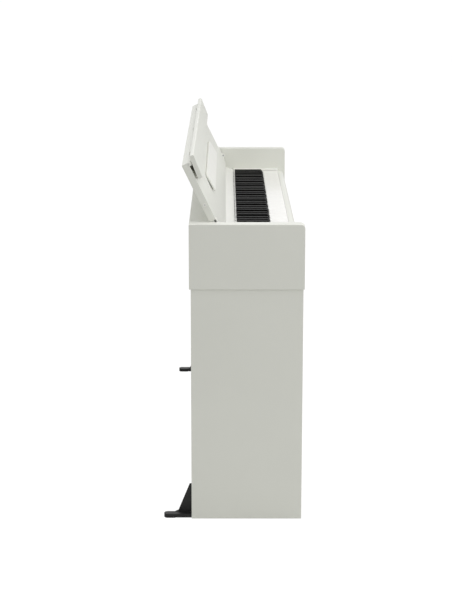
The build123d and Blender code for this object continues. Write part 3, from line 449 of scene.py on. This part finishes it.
def prism(bm, outline, push):
    """A closed solid: a flat outline pushed along a vector."""
    corners = [bm.verts.new(point) for point in outline]
    made = bmesh.ops.extrude_face_region(bm, geom=[bm.faces.new(corners)], use_keep_orig=True)["geom"]
    moved = [v for v in made if isinstance(v, bmesh.types.BMVert)]
    bmesh.ops.translate(bm, vec=push, verts=moved)
    return corners + moved


def lathe(bm, points, centre, axis, segments=48):
    """A solid of revolution: a line of points that starts and ends on the axis, or a closed ring of them."""
    verts = [bm.verts.new(point) for point in points]
    edges = [bm.edges.new(pair) for pair in zip(verts, verts[1:])]
    bmesh.ops.spin(bm, geom=verts + edges, cent=centre, axis=axis, angle=math.tau, steps=segments,
                   use_merge=True)
    bmesh.ops.remove_doubles(bm, verts=bm.verts[:], dist=MERGE)


def round_edges(bm, edges, radius, steps):
    """Round these edges."""
    bmesh.ops.bevel(bm, geom=edges, offset=radius, offset_type="OFFSET", segments=steps, profile=0.5,
                    affect="EDGES", material=-1, clamp_overlap=True)


def crisp_edges(bm):
    """Edges where two faces meet sharply."""
    return [e for e in bm.edges if e.is_manifold and e.calc_face_angle() > CRISP]


def edges_along_x(bm, y, z):
    """The edges along X at this place."""
    def there(vert):
        return abs(vert.co.y - y) < TOUCH and abs(vert.co.z - z) < TOUCH

    return [e for e in bm.edges if there(e.verts[0]) and there(e.verts[1])]


def board(bm, low, high, edge, rounds=()):
    """A panel with eased edges. rounds holds (y, z, radius) for the edges along X that are rounder."""
    cuboid(bm, low, high)
    for y, z, radius in rounds:
        round_edges(bm, edges_along_x(bm, y, z), radius, ROUND_STEPS)
    round_edges(bm, crisp_edges(bm), edge, EDGE_STEPS)


def node_board(name, node, edge, rounds=(), finish=None):
    """A panel that fills a CAD node's box."""
    bm = bmesh.new()
    low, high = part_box(node)
    board(bm, low, high, edge, rounds)
    return finish_piece(name, bm, node, finish=finish)


def eased_copy(name, node):
    """A merged copy of a CAD node with its sharp edges eased, for a shape with pockets or holes."""
    edge = EDGE_RADII[node] * MM
    bm = bmesh.new()
    bm.from_mesh(frame["nodes"][node].data)
    bmesh.ops.remove_doubles(bm, verts=bm.verts[:], dist=MERGE)
    bmesh.ops.dissolve_limit(bm, angle_limit=FLAT, verts=bm.verts[:], edges=bm.edges[:])
    if edge:
        round_edges(bm, crisp_edges(bm), edge, SMALL_STEPS)
        bmesh.ops.dissolve_degenerate(bm, dist=MERGE, edges=bm.edges[:])
    return finish_piece(name, bm, node)


def screw_head(bm, face, outward, radius, height):
    """A screw's round head with a socket, standing on a face."""
    face, outward = Vector(face), Vector(outward)
    sides, top_share, rim_share, draft_share, socket_share = 16, 0.8, 0.35, 0.02, 0.5
    before = set(bm.faces)
    bar(bm, face, face + outward * height, radius, sides, radius * top_share)
    top = max(set(bm.faces) - before, key=lambda f: f.calc_center_median().dot(outward))
    bmesh.ops.inset_individual(bm, faces=[top], thickness=radius * rim_share, depth=0)
    bmesh.ops.inset_individual(bm, faces=[top], thickness=radius * draft_share, depth=-height * socket_share)


# ---- pieces ----
class PIANO_OT_cabinet(bpy.types.Operator):
    """Build the arms, boards, key slip and end blocks"""

    bl_idname = "piano.cabinet"
    bl_label = "Cabinet"

    def execute(self, context):
        edge = sizes().panel_edge
        for side in ("left", "right"):
            low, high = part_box(f"{side}_arm")
            corner = (low.y, high.z, sizes().arm_corner)
            node_board(f"{side}_arm_panel", f"{side}_arm", edge, [corner], "upright_foil")
        node_board("top_board", "rear_top_board", edge)
        node_board("shelf_board", "inner_shelf", edge / 2)
        low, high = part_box("key_slip")
        rounds = [(low.y, high.z, sizes().slip_round), (high.y, high.z, sizes().slip_rear_edge)]
        node_board("key_slip_rail", "key_slip", edge, rounds)
        node_board("treble_block", "right_end_block", edge)
        eased_copy("bass_block", "left_end_block")
        eased_copy("key_strip_moulding", "key_strip")
        eased_copy("bed_board", "keybed")
        eased_copy("back_cover", "rear_cover")
        self.cover_screws()
        return {"FINISHED"}

    def cover_screws(self):
        """Small screws round the rear cover's edge."""
        bm = bmesh.new()
        low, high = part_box("rear_cover")
        margin, spaces, radius, height = 9 * MM, 8, 3.2 * MM, 1.6 * MM
        for column in range(spaces + 1):
            x = low.x + margin + column * (high.x - low.x - 2 * margin) / spaces
            for z in (low.z + margin, high.z - margin):
                screw_head(bm, (x, high.y, z), (0, 1, 0), radius, height)
        finish_piece("rear_cover_screws", bm, "rear_cover", stands_for=False, finish="black_steel")


class PIANO_OT_stand(bpy.types.Operator):
    """Build the panel legs, back board and glides"""

    bl_idname = "piano.stand"
    bl_label = "Stand"

    def execute(self, context):
        edge = sizes().panel_edge
        for side in ("left", "right"):
            node_board(f"{side}_leg", f"{side}_leg_panel", edge, finish="upright_foil")
        node_board("stand_back", "back_board", edge)
        node_board("pedal_rail_board", "pedal_rail", edge)
        eased_copy("floor_glides", "leg_glides")
        self.cam_covers()
        return {"FINISHED"}

    def cam_covers(self):
        """Covers over the cam fasteners that draw the back board and the pedal rail to the legs."""
        bm = bmesh.new()
        inset, radius, rise = 34 * MM, 8.5 * MM, 0.8 * MM
        for node in ("back_board", "pedal_rail"):
            low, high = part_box(node)
            for x in (low.x + inset, high.x - inset):
                for z in (low.z + inset, high.z - inset):
                    bar(bm, (x, high.y - rise, z), (x, high.y + rise, z), radius)
        round_edges(bm, crisp_edges(bm), rise / 2, SMALL_STEPS)
        finish_piece("cam_covers", bm, "back_board", stands_for=False, finish="white_plastic")


class PIANO_OT_lid(bpy.types.Operator):
    """Build the lid, its folding flap, the music ledge and their fittings"""

    bl_idname = "piano.lid"
    bl_label = "Lid and music ledge"

    def execute(self, context):
        size = sizes()
        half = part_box("lid")[1].x
        bm = bmesh.new()
        outer = size.lid_stand_off + size.lid_thickness
        low, high = (-half, size.lid_stand_off, -size.lid_below), (half, outer, size.lid_above)
        board(bm, low, high, size.panel_edge, [(outer, -size.lid_below, size.lid_heel)])
        self.rib(bm, half)
        bmesh.ops.transform(bm, matrix=lid_space(), verts=bm.verts[:])
        finish_piece("lid_panel", bm, "lid")

        bm = bmesh.new()
        near, far = size.flap_gap, size.flap_gap + size.flap_thickness
        low, high = (-half, near, -size.flap_overhang), (half, far, size.flap_reach)
        long_edges = [(y, z, size.flap_edge) for y in (near, far) for z in (low[2], high[2])]
        board(bm, low, high, size.panel_edge / 2, long_edges)
        bmesh.ops.transform(bm, matrix=lid_space("flap_hinge", math.pi + size.flap_tilt), verts=bm.verts[:])
        finish_piece("flap_panel", bm, "lid_flap")

        self.ledge()
        for name, node in (("lid_brackets", "lid_hinge_brackets"), ("lid_pins", "lid_hinge_pins"),
                           ("end_caps", "lid_end_caps"), ("lid_leaves", "flap_hinge_lid_leaves"),
                           ("flap_leaves", "flap_hinge_flap_leaves"), ("flap_pins", "flap_hinge_pins"),
                           ("ledge_ears", "ledge_hinge_blocks")):
            eased_copy(name, node)
        self.bumpers()
        self.cap_screws()
        return {"FINISHED"}

    def cap_screws(self):
        """The screw that shows in the middle of each end cap."""
        bm = bmesh.new()
        size = sizes()
        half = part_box("lid")[1].x
        across, along = size.lid_stand_off + size.lid_thickness / 2, 79.5 * MM
        radius, height = 1.75 * MM, 0.9 * MM
        for side in (-1, 1):
            screw_head(bm, (side * half, across, along), (side, 0, 0), radius, height)
        bmesh.ops.transform(bm, matrix=lid_space(), verts=bm.verts[:])
        finish_piece("end_cap_screws", bm, "lid_end_caps", stands_for=False, finish="bright_steel")

    def rib(self, bm, half):
        """The rib beside the flap's hinge line, between the three hinges."""
        section = ((5, 186), (-2, 186), (-4.2, 188.5), (-4.2, 193.5), (-1.8, 195.6), (5, 195.6))
        outline = [(y * MM, z * MM) for y, z in section]
        reach, spacing, edge = 31 * MM, 480 * MM, 0.4 * MM
        starts = [-half, -spacing + reach, reach, spacing + reach]
        ends = [-spacing - reach, -reach, spacing - reach, half]
        for start, end in zip(starts, ends):
            prism(bm, [(start, y, z) for y, z in outline], (end - start, 0, 0))
        round_edges(bm, crisp_edges(bm), edge, SMALL_STEPS)

    def ledge(self):
        """The music ledge, with its rounded free corners and hinge eyes."""
        size = sizes()
        space = lid_space("ledge_hinge", -size.ledge_tilt)
        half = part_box("music_ledge")[1].x
        start, back = 3 * MM, 0.4 * MM
        bm = bmesh.new()
        cuboid(bm, (-half, -back - size.ledge_thickness, start), (half, -back, size.ledge_length))
        corners = [e for e in bm.edges if all(v.co.z > size.ledge_length - TOUCH for v in e.verts)
                   and abs(e.verts[0].co.x - e.verts[1].co.x) < TOUCH]
        round_edges(bm, corners, size.ledge_corner, 2 * ROUND_STEPS)
        round_edges(bm, crisp_edges(bm), size.panel_edge, EDGE_STEPS)
        eye, wide, spacing = 2.6 * MM, 20 * MM, 260 * MM
        for x in (-spacing, 0, spacing):
            bar(bm, (x - wide / 2, 0, 0), (x + wide / 2, 0, 0), eye)
            cuboid(bm, (x - wide / 2, -eye, 0), (x + wide / 2, -back, start + size.panel_edge))
        bmesh.ops.transform(bm, matrix=space, verts=bm.verts[:])
        finish_piece("ledge_panel", bm, "music_ledge")

    def bumpers(self):
        """Domed clear bumpers on the flap's inner face."""
        size = sizes()
        bm = bmesh.new()
        radius, thick, along, dome, dome_steps = 4 * MM, 5.2 * MM, 38 * MM, 1.2 * MM, 4
        outer, inner = 628 * MM, 240 * MM
        for x in (-outer, -inner, inner, outer):
            bar(bm, (x, size.flap_gap, along), (x, size.flap_gap - thick, along), radius)
        round_edges(bm, crisp_edges(bm), dome, dome_steps)
        bmesh.ops.transform(bm, matrix=lid_space("flap_hinge", math.pi + size.flap_tilt), verts=bm.verts[:])
        finish_piece("bumper_pads", bm, "flap_bumpers")


class PIANO_OT_keys(bpy.types.Operator):
    """Build the 88 keys, one piece for each note name"""

    bl_idname = "piano.keys"
    bl_label = "Keys"

    def execute(self, context):
        self.gap = sizes().key_gap
        left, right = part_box("keys_a")[0].x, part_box("keys_c")[1].x
        self.pitch = (right - left + self.gap) / WHITE_KEYS
        self.first_octave = left - self.gap / 2 - WHITES_BELOW_A * self.pitch
        self.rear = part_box("key_strip")[0].y - MM
        for pitch, name in enumerate(PITCHES):
            node = f"keys_{name}"
            bm = bmesh.new()
            for note in range(NOTES):
                if (note + FIRST_PITCH) % len(PITCHES) == pitch:
                    self.key(bm, node, note, pitch)
            finish_piece(f"key_tops_{name}", bm, node)
        return {"FINISHED"}

    def tail_place(self, pitch):
        """Where a key's tail lies, from the left edge of its octave."""
        if pitch < LOW_KEYS:
            return (pitch + 0.5) * LOW_WHITES * self.pitch / LOW_KEYS
        beyond = (pitch - LOW_KEYS + 0.5) * HIGH_WHITES * self.pitch / HIGH_KEYS
        return LOW_WHITES * self.pitch + beyond

    def key(self, bm, node, note, pitch):
        """One key: its top, and the tail that runs back to the pivot."""
        low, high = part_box(node)
        octave = (LOW_WHITES + HIGH_WHITES) * self.pitch
        start = self.first_octave + (note + FIRST_PITCH) // len(PITCHES) * octave
        middle = start + self.tail_place(pitch)
        if pitch in BLACK_PITCHES:
            self.black_top(bm, low, high, middle)
        else:
            self.white_top(bm, low, high, note, pitch, start)
        half, tall, overlap = 4.5 * MM, 12 * MM, 5 * MM
        front = self.rear - overlap
        cuboid(bm, (middle - half, front, low.z), (middle + half, high.y, low.z + tall))

    def white_top(self, bm, low, high, note, pitch, start):
        """A white key: full width at the front, cut away behind beside its black neighbours."""
        place = pitch // 2 if pitch < LOW_KEYS else (pitch + 1) // 2
        left = start + place * self.pitch + self.gap / 2
        right = left + self.pitch - self.gap
        side_gap, front_gap, rim = 0.8 * MM, 1.5 * MM, 4 * MM
        lip_round, lip_steps, top_round = 0.9 * MM, 4, 0.45 * MM
        clear = sizes().black_width / 2 + side_gap
        rear_left, rear_right = left, right
        if pitch - 1 in BLACK_PITCHES and note > 0:
            rear_left = start + self.tail_place(pitch - 1) + clear
        if pitch + 1 in BLACK_PITCHES and note < NOTES - 1:
            rear_right = start + self.tail_place(pitch + 1) - clear
        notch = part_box("keys_c_sharp")[0].y - front_gap
        outline = [(left, low.y), (right, low.y), (right, notch)]
        if rear_right < right:
            outline.append((rear_right, notch))
        outline += [(rear_right, self.rear), (rear_left, self.rear)]
        if rear_left > left:
            outline.append((rear_left, notch))
        outline.append((left, notch))
        made = prism(bm, [(x, y, high.z) for x, y in outline], (0, 0, -sizes().white_thickness))
        lip = [e for e in edges_along_x(bm, low.y, high.z) if e.verts[0] in made]
        round_edges(bm, lip, lip_round, lip_steps)
        top = high.z - rim
        eased = [e for e in crisp_edges(bm) if min(v.co.z for v in e.verts) > top
                 and all(left - TOUCH < v.co.x < right + TOUCH for v in e.verts)]
        round_edges(bm, eased, top_round, SMALL_STEPS)

    def black_top(self, bm, low, high, middle):
        """A black key: a sloping front, sides that draw in, and rounded top edges."""
        half = sizes().black_width / 2
        foot, slope_foot, slope_rear = high.z - 28 * MM, high.z - 10 * MM, low.y + 7 * MM
        rear, top_round, steep = self.rear - 4 * MM, 1.3 * MM, math.radians(20)
        outline = [(rear, foot), (rear, high.z), (slope_rear, high.z), (low.y, slope_foot), (low.y, foot)]
        made = prism(bm, [(middle - half, y, z) for y, z in outline], (2 * half, 0, 0))
        for vert in made:
            rise = max(0.0, (vert.co.z - slope_foot) / (high.z - slope_foot))
            share = 1 - rise * (1 - sizes().black_taper)
            vert.co.x = middle + (vert.co.x - middle) * share
        top = slope_foot - TOUCH
        eased = [e for e in bm.edges if e.is_manifold and e.calc_face_angle() > steep
                 and e.verts[0] in made and min(v.co.z for v in e.verts) > top]
        round_edges(bm, eased, top_round, EDGE_STEPS)


class PIANO_OT_controls(bpy.types.Operator):
    """Build the buttons, the volume slider and the sockets"""

    bl_idname = "piano.controls"
    bl_label = "Controls and sockets"

    def execute(self, context):
        eased_copy("power_cap", "power_button")
        eased_copy("function_cap", "function_button")
        self.slider()
        eased_copy("socket_box", "headphone_box")
        self.socket_rings()
        eased_copy("inlet_socket", "power_inlet")
        self.inlet_pin()
        return {"FINISHED"}

    def slider(self):
        """The volume slider's ridged cap on its stem."""
        bm = bmesh.new()
        low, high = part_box("volume_slider")
        middle = (low + high) / 2
        cap, cap_round, stem = 4.9 * MM, 0.8 * MM, Vector((1.7, 3, 0)) * MM
        cuboid(bm, (low.x, low.y, high.z - cap), high)
        round_edges(bm, crisp_edges(bm), cap_round, EDGE_STEPS)
        cuboid(bm, (*(middle - stem).xy, low.z), (*(middle + stem).xy, high.z - MM))
        spacing, ridge, sunk, sides = 1.6 * MM, 0.34 * MM, 0.35 * MM, 12
        for step in (-2, -1, 0, 1, 2):
            y, z = middle.y + step * spacing, high.z - sunk
            bar(bm, (low.x + MM, y, z), (high.x - MM, y, z), ridge, sides)
        finish_piece("slider_cap", bm, "volume_slider")

    def socket_rings(self):
        """Plated bushes round the headphone sockets."""
        bm = bmesh.new()
        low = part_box("headphone_box")[0]
        first, second, z = -575 * MM, -545 * MM, low.z + 12 * MM
        inner, outer, proud, deep = 3.25 * MM, 5.2 * MM, 0.6 * MM, 3 * MM
        section = [(inner, deep), (inner, -proud), (outer, -proud / 2), (outer, deep), (inner, deep)]
        for x in (first, second):
            lathe(bm, [(x + across, low.y + along, z) for across, along in section], (x, 0, z), (0, 1, 0))
        finish_piece("socket_bushes", bm, "headphone_box", stands_for=False, finish="bright_steel")

    def inlet_pin(self):
        """The contact pin inside the power inlet."""
        bm = bmesh.new()
        low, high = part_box("power_inlet")
        middle = (low + high) / 2
        root, tip, radius, tip_round, sides = high.y - 12 * MM, high.y - 2 * MM, 1.0 * MM, 0.4 * MM, 16
        bar(bm, (middle.x, root, middle.z), (middle.x, tip, middle.z), radius, sides)
        round_edges(bm, crisp_edges(bm), tip_round, SMALL_STEPS)
        finish_piece("inlet_contact", bm, "power_inlet", stands_for=False, finish="bright_steel")


class PIANO_OT_pedals(bpy.types.Operator):
    """Build the pedal box, three pedals, their springs and the screw foot"""

    bl_idname = "piano.pedals"
    bl_label = "Pedals"

    def execute(self, context):
        springs = bmesh.new()
        for node in ("soft_pedal", "sostenuto_pedal", "damper_pedal"):
            self.pedal(node)
            self.spring(springs, node)
        finish_piece("spring_coils", springs, "pedal_springs")
        eased_copy("pedal_housing", "pedal_box")
        eased_copy("pedal_axle", "pedal_pivot_rod")
        eased_copy("screw_foot", "pedal_box_foot")
        return {"FINISHED"}

    def pedal(self, node):
        """One cast pedal: a shank that widens to a round-ended sole, and the hub it turns on."""
        low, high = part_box(node)
        hub = joint_place(f"{node}_press")
        x, sole, shank, tall, hub_radius = hub.x, 12 * MM, 8 * MM, 8 * MM, 8 * MM
        sole_end, shank_start, top = low.y + 45 * MM, low.y + 73 * MM, hub.z + 3.5 * MM
        arc_steps, crown_round, crown_steps, under_round = 16, 2.4 * MM, 5, 0.8 * MM
        arc = [math.pi * step / arc_steps for step in range(arc_steps + 1)]
        outline = [(x - sole * math.cos(a), low.y + sole - sole * math.sin(a)) for a in arc]
        outline += [(x + sole, sole_end), (x + shank, shank_start), (x + shank, high.y),
                    (x - shank, high.y), (x - shank, shank_start), (x - sole, sole_end)]
        bm = bmesh.new()
        prism(bm, [(a, b, top) for a, b in outline], (0, 0, -tall))
        crown = [e for e in crisp_edges(bm) if all(v.co.z > top - TOUCH for v in e.verts)]
        round_edges(bm, crown, crown_round, crown_steps)
        round_edges(bm, crisp_edges(bm), under_round, SMALL_STEPS)
        bar(bm, (x - shank, hub.y, hub.z), (x + shank, hub.y, hub.z), hub_radius)
        finish_piece(f"{node}_lever", bm, node)

    def spring(self, bm, node):
        """A coil spring on the axle beside a pedal."""
        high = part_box(node)[1]
        hub = joint_place(f"{node}_press")
        wire, coil, length = 0.8 * MM, 5.5 * MM, 10.4 * MM
        turns, steps, sides = 6, 16, 8
        start = high.x + MM + wire
        verts = bmesh.ops.create_circle(bm, cap_ends=True, segments=sides, radius=wire)["verts"]
        bmesh.ops.translate(bm, vec=(start, hub.y + coil, hub.z), verts=verts)
        geom = list({f for v in verts for f in v.link_faces})
        axis_step = Vector((length / (turns * steps), 0, 0))
        bmesh.ops.spin(bm, geom=geom, cent=hub, axis=(1, 0, 0), dvec=axis_step, angle=math.tau * turns,
                       steps=turns * steps)
        bmesh.ops.holes_fill(bm, edges=[e for e in bm.edges if e.is_boundary], sides=0)


class PIANO_OT_stabilizers(bpy.types.Operator):
    """Build the rear stabilisers, their pads and screws"""

    bl_idname = "piano.stabilizers"
    bl_label = "Stabilisers"

    def execute(self, context):
        for side in ("left", "right"):
            eased_copy(f"{side}_brace", f"{side}_stabilizer")
        eased_copy("brace_pads", "stabilizer_pads")
        bm = bmesh.new()
        low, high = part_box("stabilizer_screws")
        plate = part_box("right_stabilizer")[0].x
        radius, head = 4.5 * MM, 2.6 * MM
        for z in (low.z + radius, (low.z + high.z) / 2, high.z - radius):
            for side in (-1, 1):
                screw_head(bm, (side * plate, (low.y + high.y) / 2, z), (-side, 0, 0), radius, head)
        finish_piece("brace_screws", bm, "stabilizer_screws")
        return {"FINISHED"}


class PIANO_OT_works(bpy.types.Operator):
    """Build the key frame, boards, speakers and grilles"""

    bl_idname = "piano.works"
    bl_label = "Inner works"

    def execute(self, context):
        eased_copy("key_chassis", "key_frame")
        eased_copy("key_axle", "key_pivot_rod")
        eased_copy("main_circuit", "main_board")
        eased_copy("sensor_circuit", "sensor_board")
        eased_copy("grille_plates", "speaker_grilles")
        self.speakers()
        return {"FINISHED"}

    def speakers(self):
        """Two drivers: flange, rolled surround, cone, dust cap and magnet, turned as one section."""
        bm = bmesh.new()
        low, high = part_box("speakers")
        # Millimetres out from the axis and up from the flange: the dust cap, out to the rim, then the magnet.
        section = ((0, 14), (10, 12), (14, 16), (32, 2.5), (35, 1), (38, 2.5), (38, 0), (44, 0), (44, 3),
                   (38, 3), (20, 31), (26, 31), (26, 42), (0, 42))
        flange, sides, y = 44 * MM, 64, (low.y + high.y) / 2
        for x in (low.x + flange, high.x - flange):
            points = [(x + r * MM, y, low.z + z * MM) for r, z in section]
            lathe(bm, points, (x, y, 0), (0, 0, 1), sides)
        finish_piece("speaker_drivers", bm, "speakers")


class PIANO_OT_stage(bpy.types.Operator):
    """Set the pale floor, the soft light and the camera"""

    bl_idname = "piano.stage"
    bl_label = "Stage"

    def execute(self, context):
        scene = context.scene
        scene.view_settings.view_transform = "Standard"
        low, high = CAD_BOX
        self.floor(low.z)
        self.sky(scene)
        middle = (low + high) / 2
        above, rear, front = (middle.x, middle.y, high.z), (low.x, high.y, high.z), (low.x, low.y, high.z)
        self.soft_light("top_light", above, (-0.3, -0.9, 2.2), middle, side=3.0, power=39)
        self.soft_light("rear_light", rear, (-0.6, 2.4, 1.6), middle, side=2.0, power=16)
        self.soft_light("front_light", front, (-1.5, -3.0, 0.4), middle, side=2.0, power=28)
        self.camera(scene, low)
        return {"FINISHED"}

    def floor(self, z):
        """A pale floor that runs out to the white background."""
        extent, glow_strength = 60, 0.97
        faint_grey, pale_grey = (0.12, 0.12, 0.12, 1), (0.7, 0.7, 0.68, 1)
        bm = bmesh.new()
        bmesh.ops.create_grid(bm, x_segments=1, y_segments=1, size=extent)
        bmesh.ops.translate(bm, vec=(0, 0, z), verts=bm.verts[:])
        mesh = bpy.data.meshes.new("floor")
        bm.to_mesh(mesh)
        bm.free()
        material = bpy.data.materials.new("pale_floor")
        material.use_nodes = True
        tree = material.node_tree
        tree.nodes.clear()
        seen = add_node(tree, "ShaderNodeLightPath").outputs["Is Camera Ray"]
        glow = add_node(tree, "ShaderNodeEmission", {"Strength": glow_strength}).outputs[0]
        faint = add_node(tree, "ShaderNodeBsdfDiffuse", {"Color": faint_grey}).outputs[0]
        pale = add_node(tree, "ShaderNodeBsdfDiffuse", {"Color": pale_grey}).outputs[0]
        bright = add_node(tree, "ShaderNodeAddShader", {0: glow, 1: faint}).outputs[0]
        mixed = add_node(tree, "ShaderNodeMixShader", {0: seen, 1: pale, 2: bright}).outputs[0]
        add_node(tree, "ShaderNodeOutputMaterial", {"Surface": mixed})
        mesh.materials.append(material)
        floor = bpy.data.objects.new("floor", mesh)
        bpy.context.scene.collection.objects.link(floor)

    def sky(self, scene):
        """White behind the object and in its reflections, and a dimmer even light on it."""
        even_light, backdrop, white = 0.51, 1.02, (1, 1, 1, 1)
        world = bpy.data.worlds.new("studio")
        scene.world = world
        world.use_nodes = True
        tree = world.node_tree
        tree.nodes.clear()
        path = add_node(tree, "ShaderNodeLightPath").outputs
        seen = add_node(tree, "ShaderNodeMath", {0: path["Is Camera Ray"], 1: path["Is Glossy Ray"]},
                        operation="MAXIMUM").outputs[0]
        light = add_node(tree, "ShaderNodeBackground", {"Color": white, "Strength": even_light}).outputs[0]
        behind = add_node(tree, "ShaderNodeBackground", {"Color": white, "Strength": backdrop}).outputs[0]
        mixed = add_node(tree, "ShaderNodeMixShader", {0: seen, 1: light, 2: behind}).outputs[0]
        add_node(tree, "ShaderNodeOutputWorld", {"Surface": mixed})

    def soft_light(self, name, start, offset, aim, side, power):
        """A square softbox, offset from a point on the object's box and pointed at its middle."""
        place = Vector(start) + Vector(offset)
        data = bpy.data.lights.new(name, "AREA")
        data.shape = "SQUARE"
        data.size = side
        data.energy = power
        light = bpy.data.objects.new(name, data)
        light.location = place
        light.rotation_euler = (aim - place).to_track_quat("-Z", "Y").to_euler()
        bpy.context.scene.collection.objects.link(light)

    def camera(self, scene, low):
        """A long lens beyond the bass end, above the keys and looking a little down."""
        distance, toward_rear, height, pitch = 3.661, 0.0215, 1.531, math.radians(11.07)
        data = bpy.data.cameras.new("camera")
        data.sensor_width, data.lens = 36, 88.6
        data.shift_x, data.shift_y = 1 / 600, -0.14
        camera = bpy.data.objects.new("camera", data)
        camera.location = (low.x - distance, toward_rear, height)
        look = Vector((math.cos(pitch), 0, -math.sin(pitch)))
        camera.rotation_euler = look.to_track_quat("-Z", "Y").to_euler()
        scene.collection.objects.link(camera)
        scene.camera = camera


class PIANO_PT_sidebar(bpy.types.Panel):
    """Lists the piano's pieces in the order they are built"""

    bl_idname = "PIANO_PT_sidebar"
    bl_label = "Digital Piano"
    bl_space_type = "VIEW_3D"
    bl_region_type = "UI"
    bl_category = "Piano"

    def draw(self, context):
        for operator in OPERATORS:
            self.layout.operator(operator.bl_idname)
        for group in (context.scene.piano_sizes, context.scene.piano_colours):
            for name in group.bl_rna.properties.keys():
                if name not in ("rna_type", "name"):
                    self.layout.prop(group, name)


OPERATORS = (
    PIANO_OT_cabinet,
    PIANO_OT_stand,
    PIANO_OT_lid,
    PIANO_OT_keys,
    PIANO_OT_controls,
    PIANO_OT_pedals,
    PIANO_OT_stabilizers,
    PIANO_OT_works,
    PIANO_OT_stage,
)
CLASSES = (PianoSizes, PianoColours, *OPERATORS, PIANO_PT_sidebar)


def register():
    for cls in CLASSES:
        bpy.utils.register_class(cls)
    bpy.types.Scene.piano_sizes = PointerProperty(type=PianoSizes)
    bpy.types.Scene.piano_colours = PointerProperty(type=PianoColours)


def unregister():
    del bpy.types.Scene.piano_colours
    del bpy.types.Scene.piano_sizes
    for cls in reversed(CLASSES):
        bpy.utils.unregister_class(cls)


def main():
    """Build everything."""
    register()
    for operator in OPERATORS:
        category, name = operator.bl_idname.split(".")
        getattr(getattr(bpy.ops, category), name)()


if __name__ == "__main__":
    main()
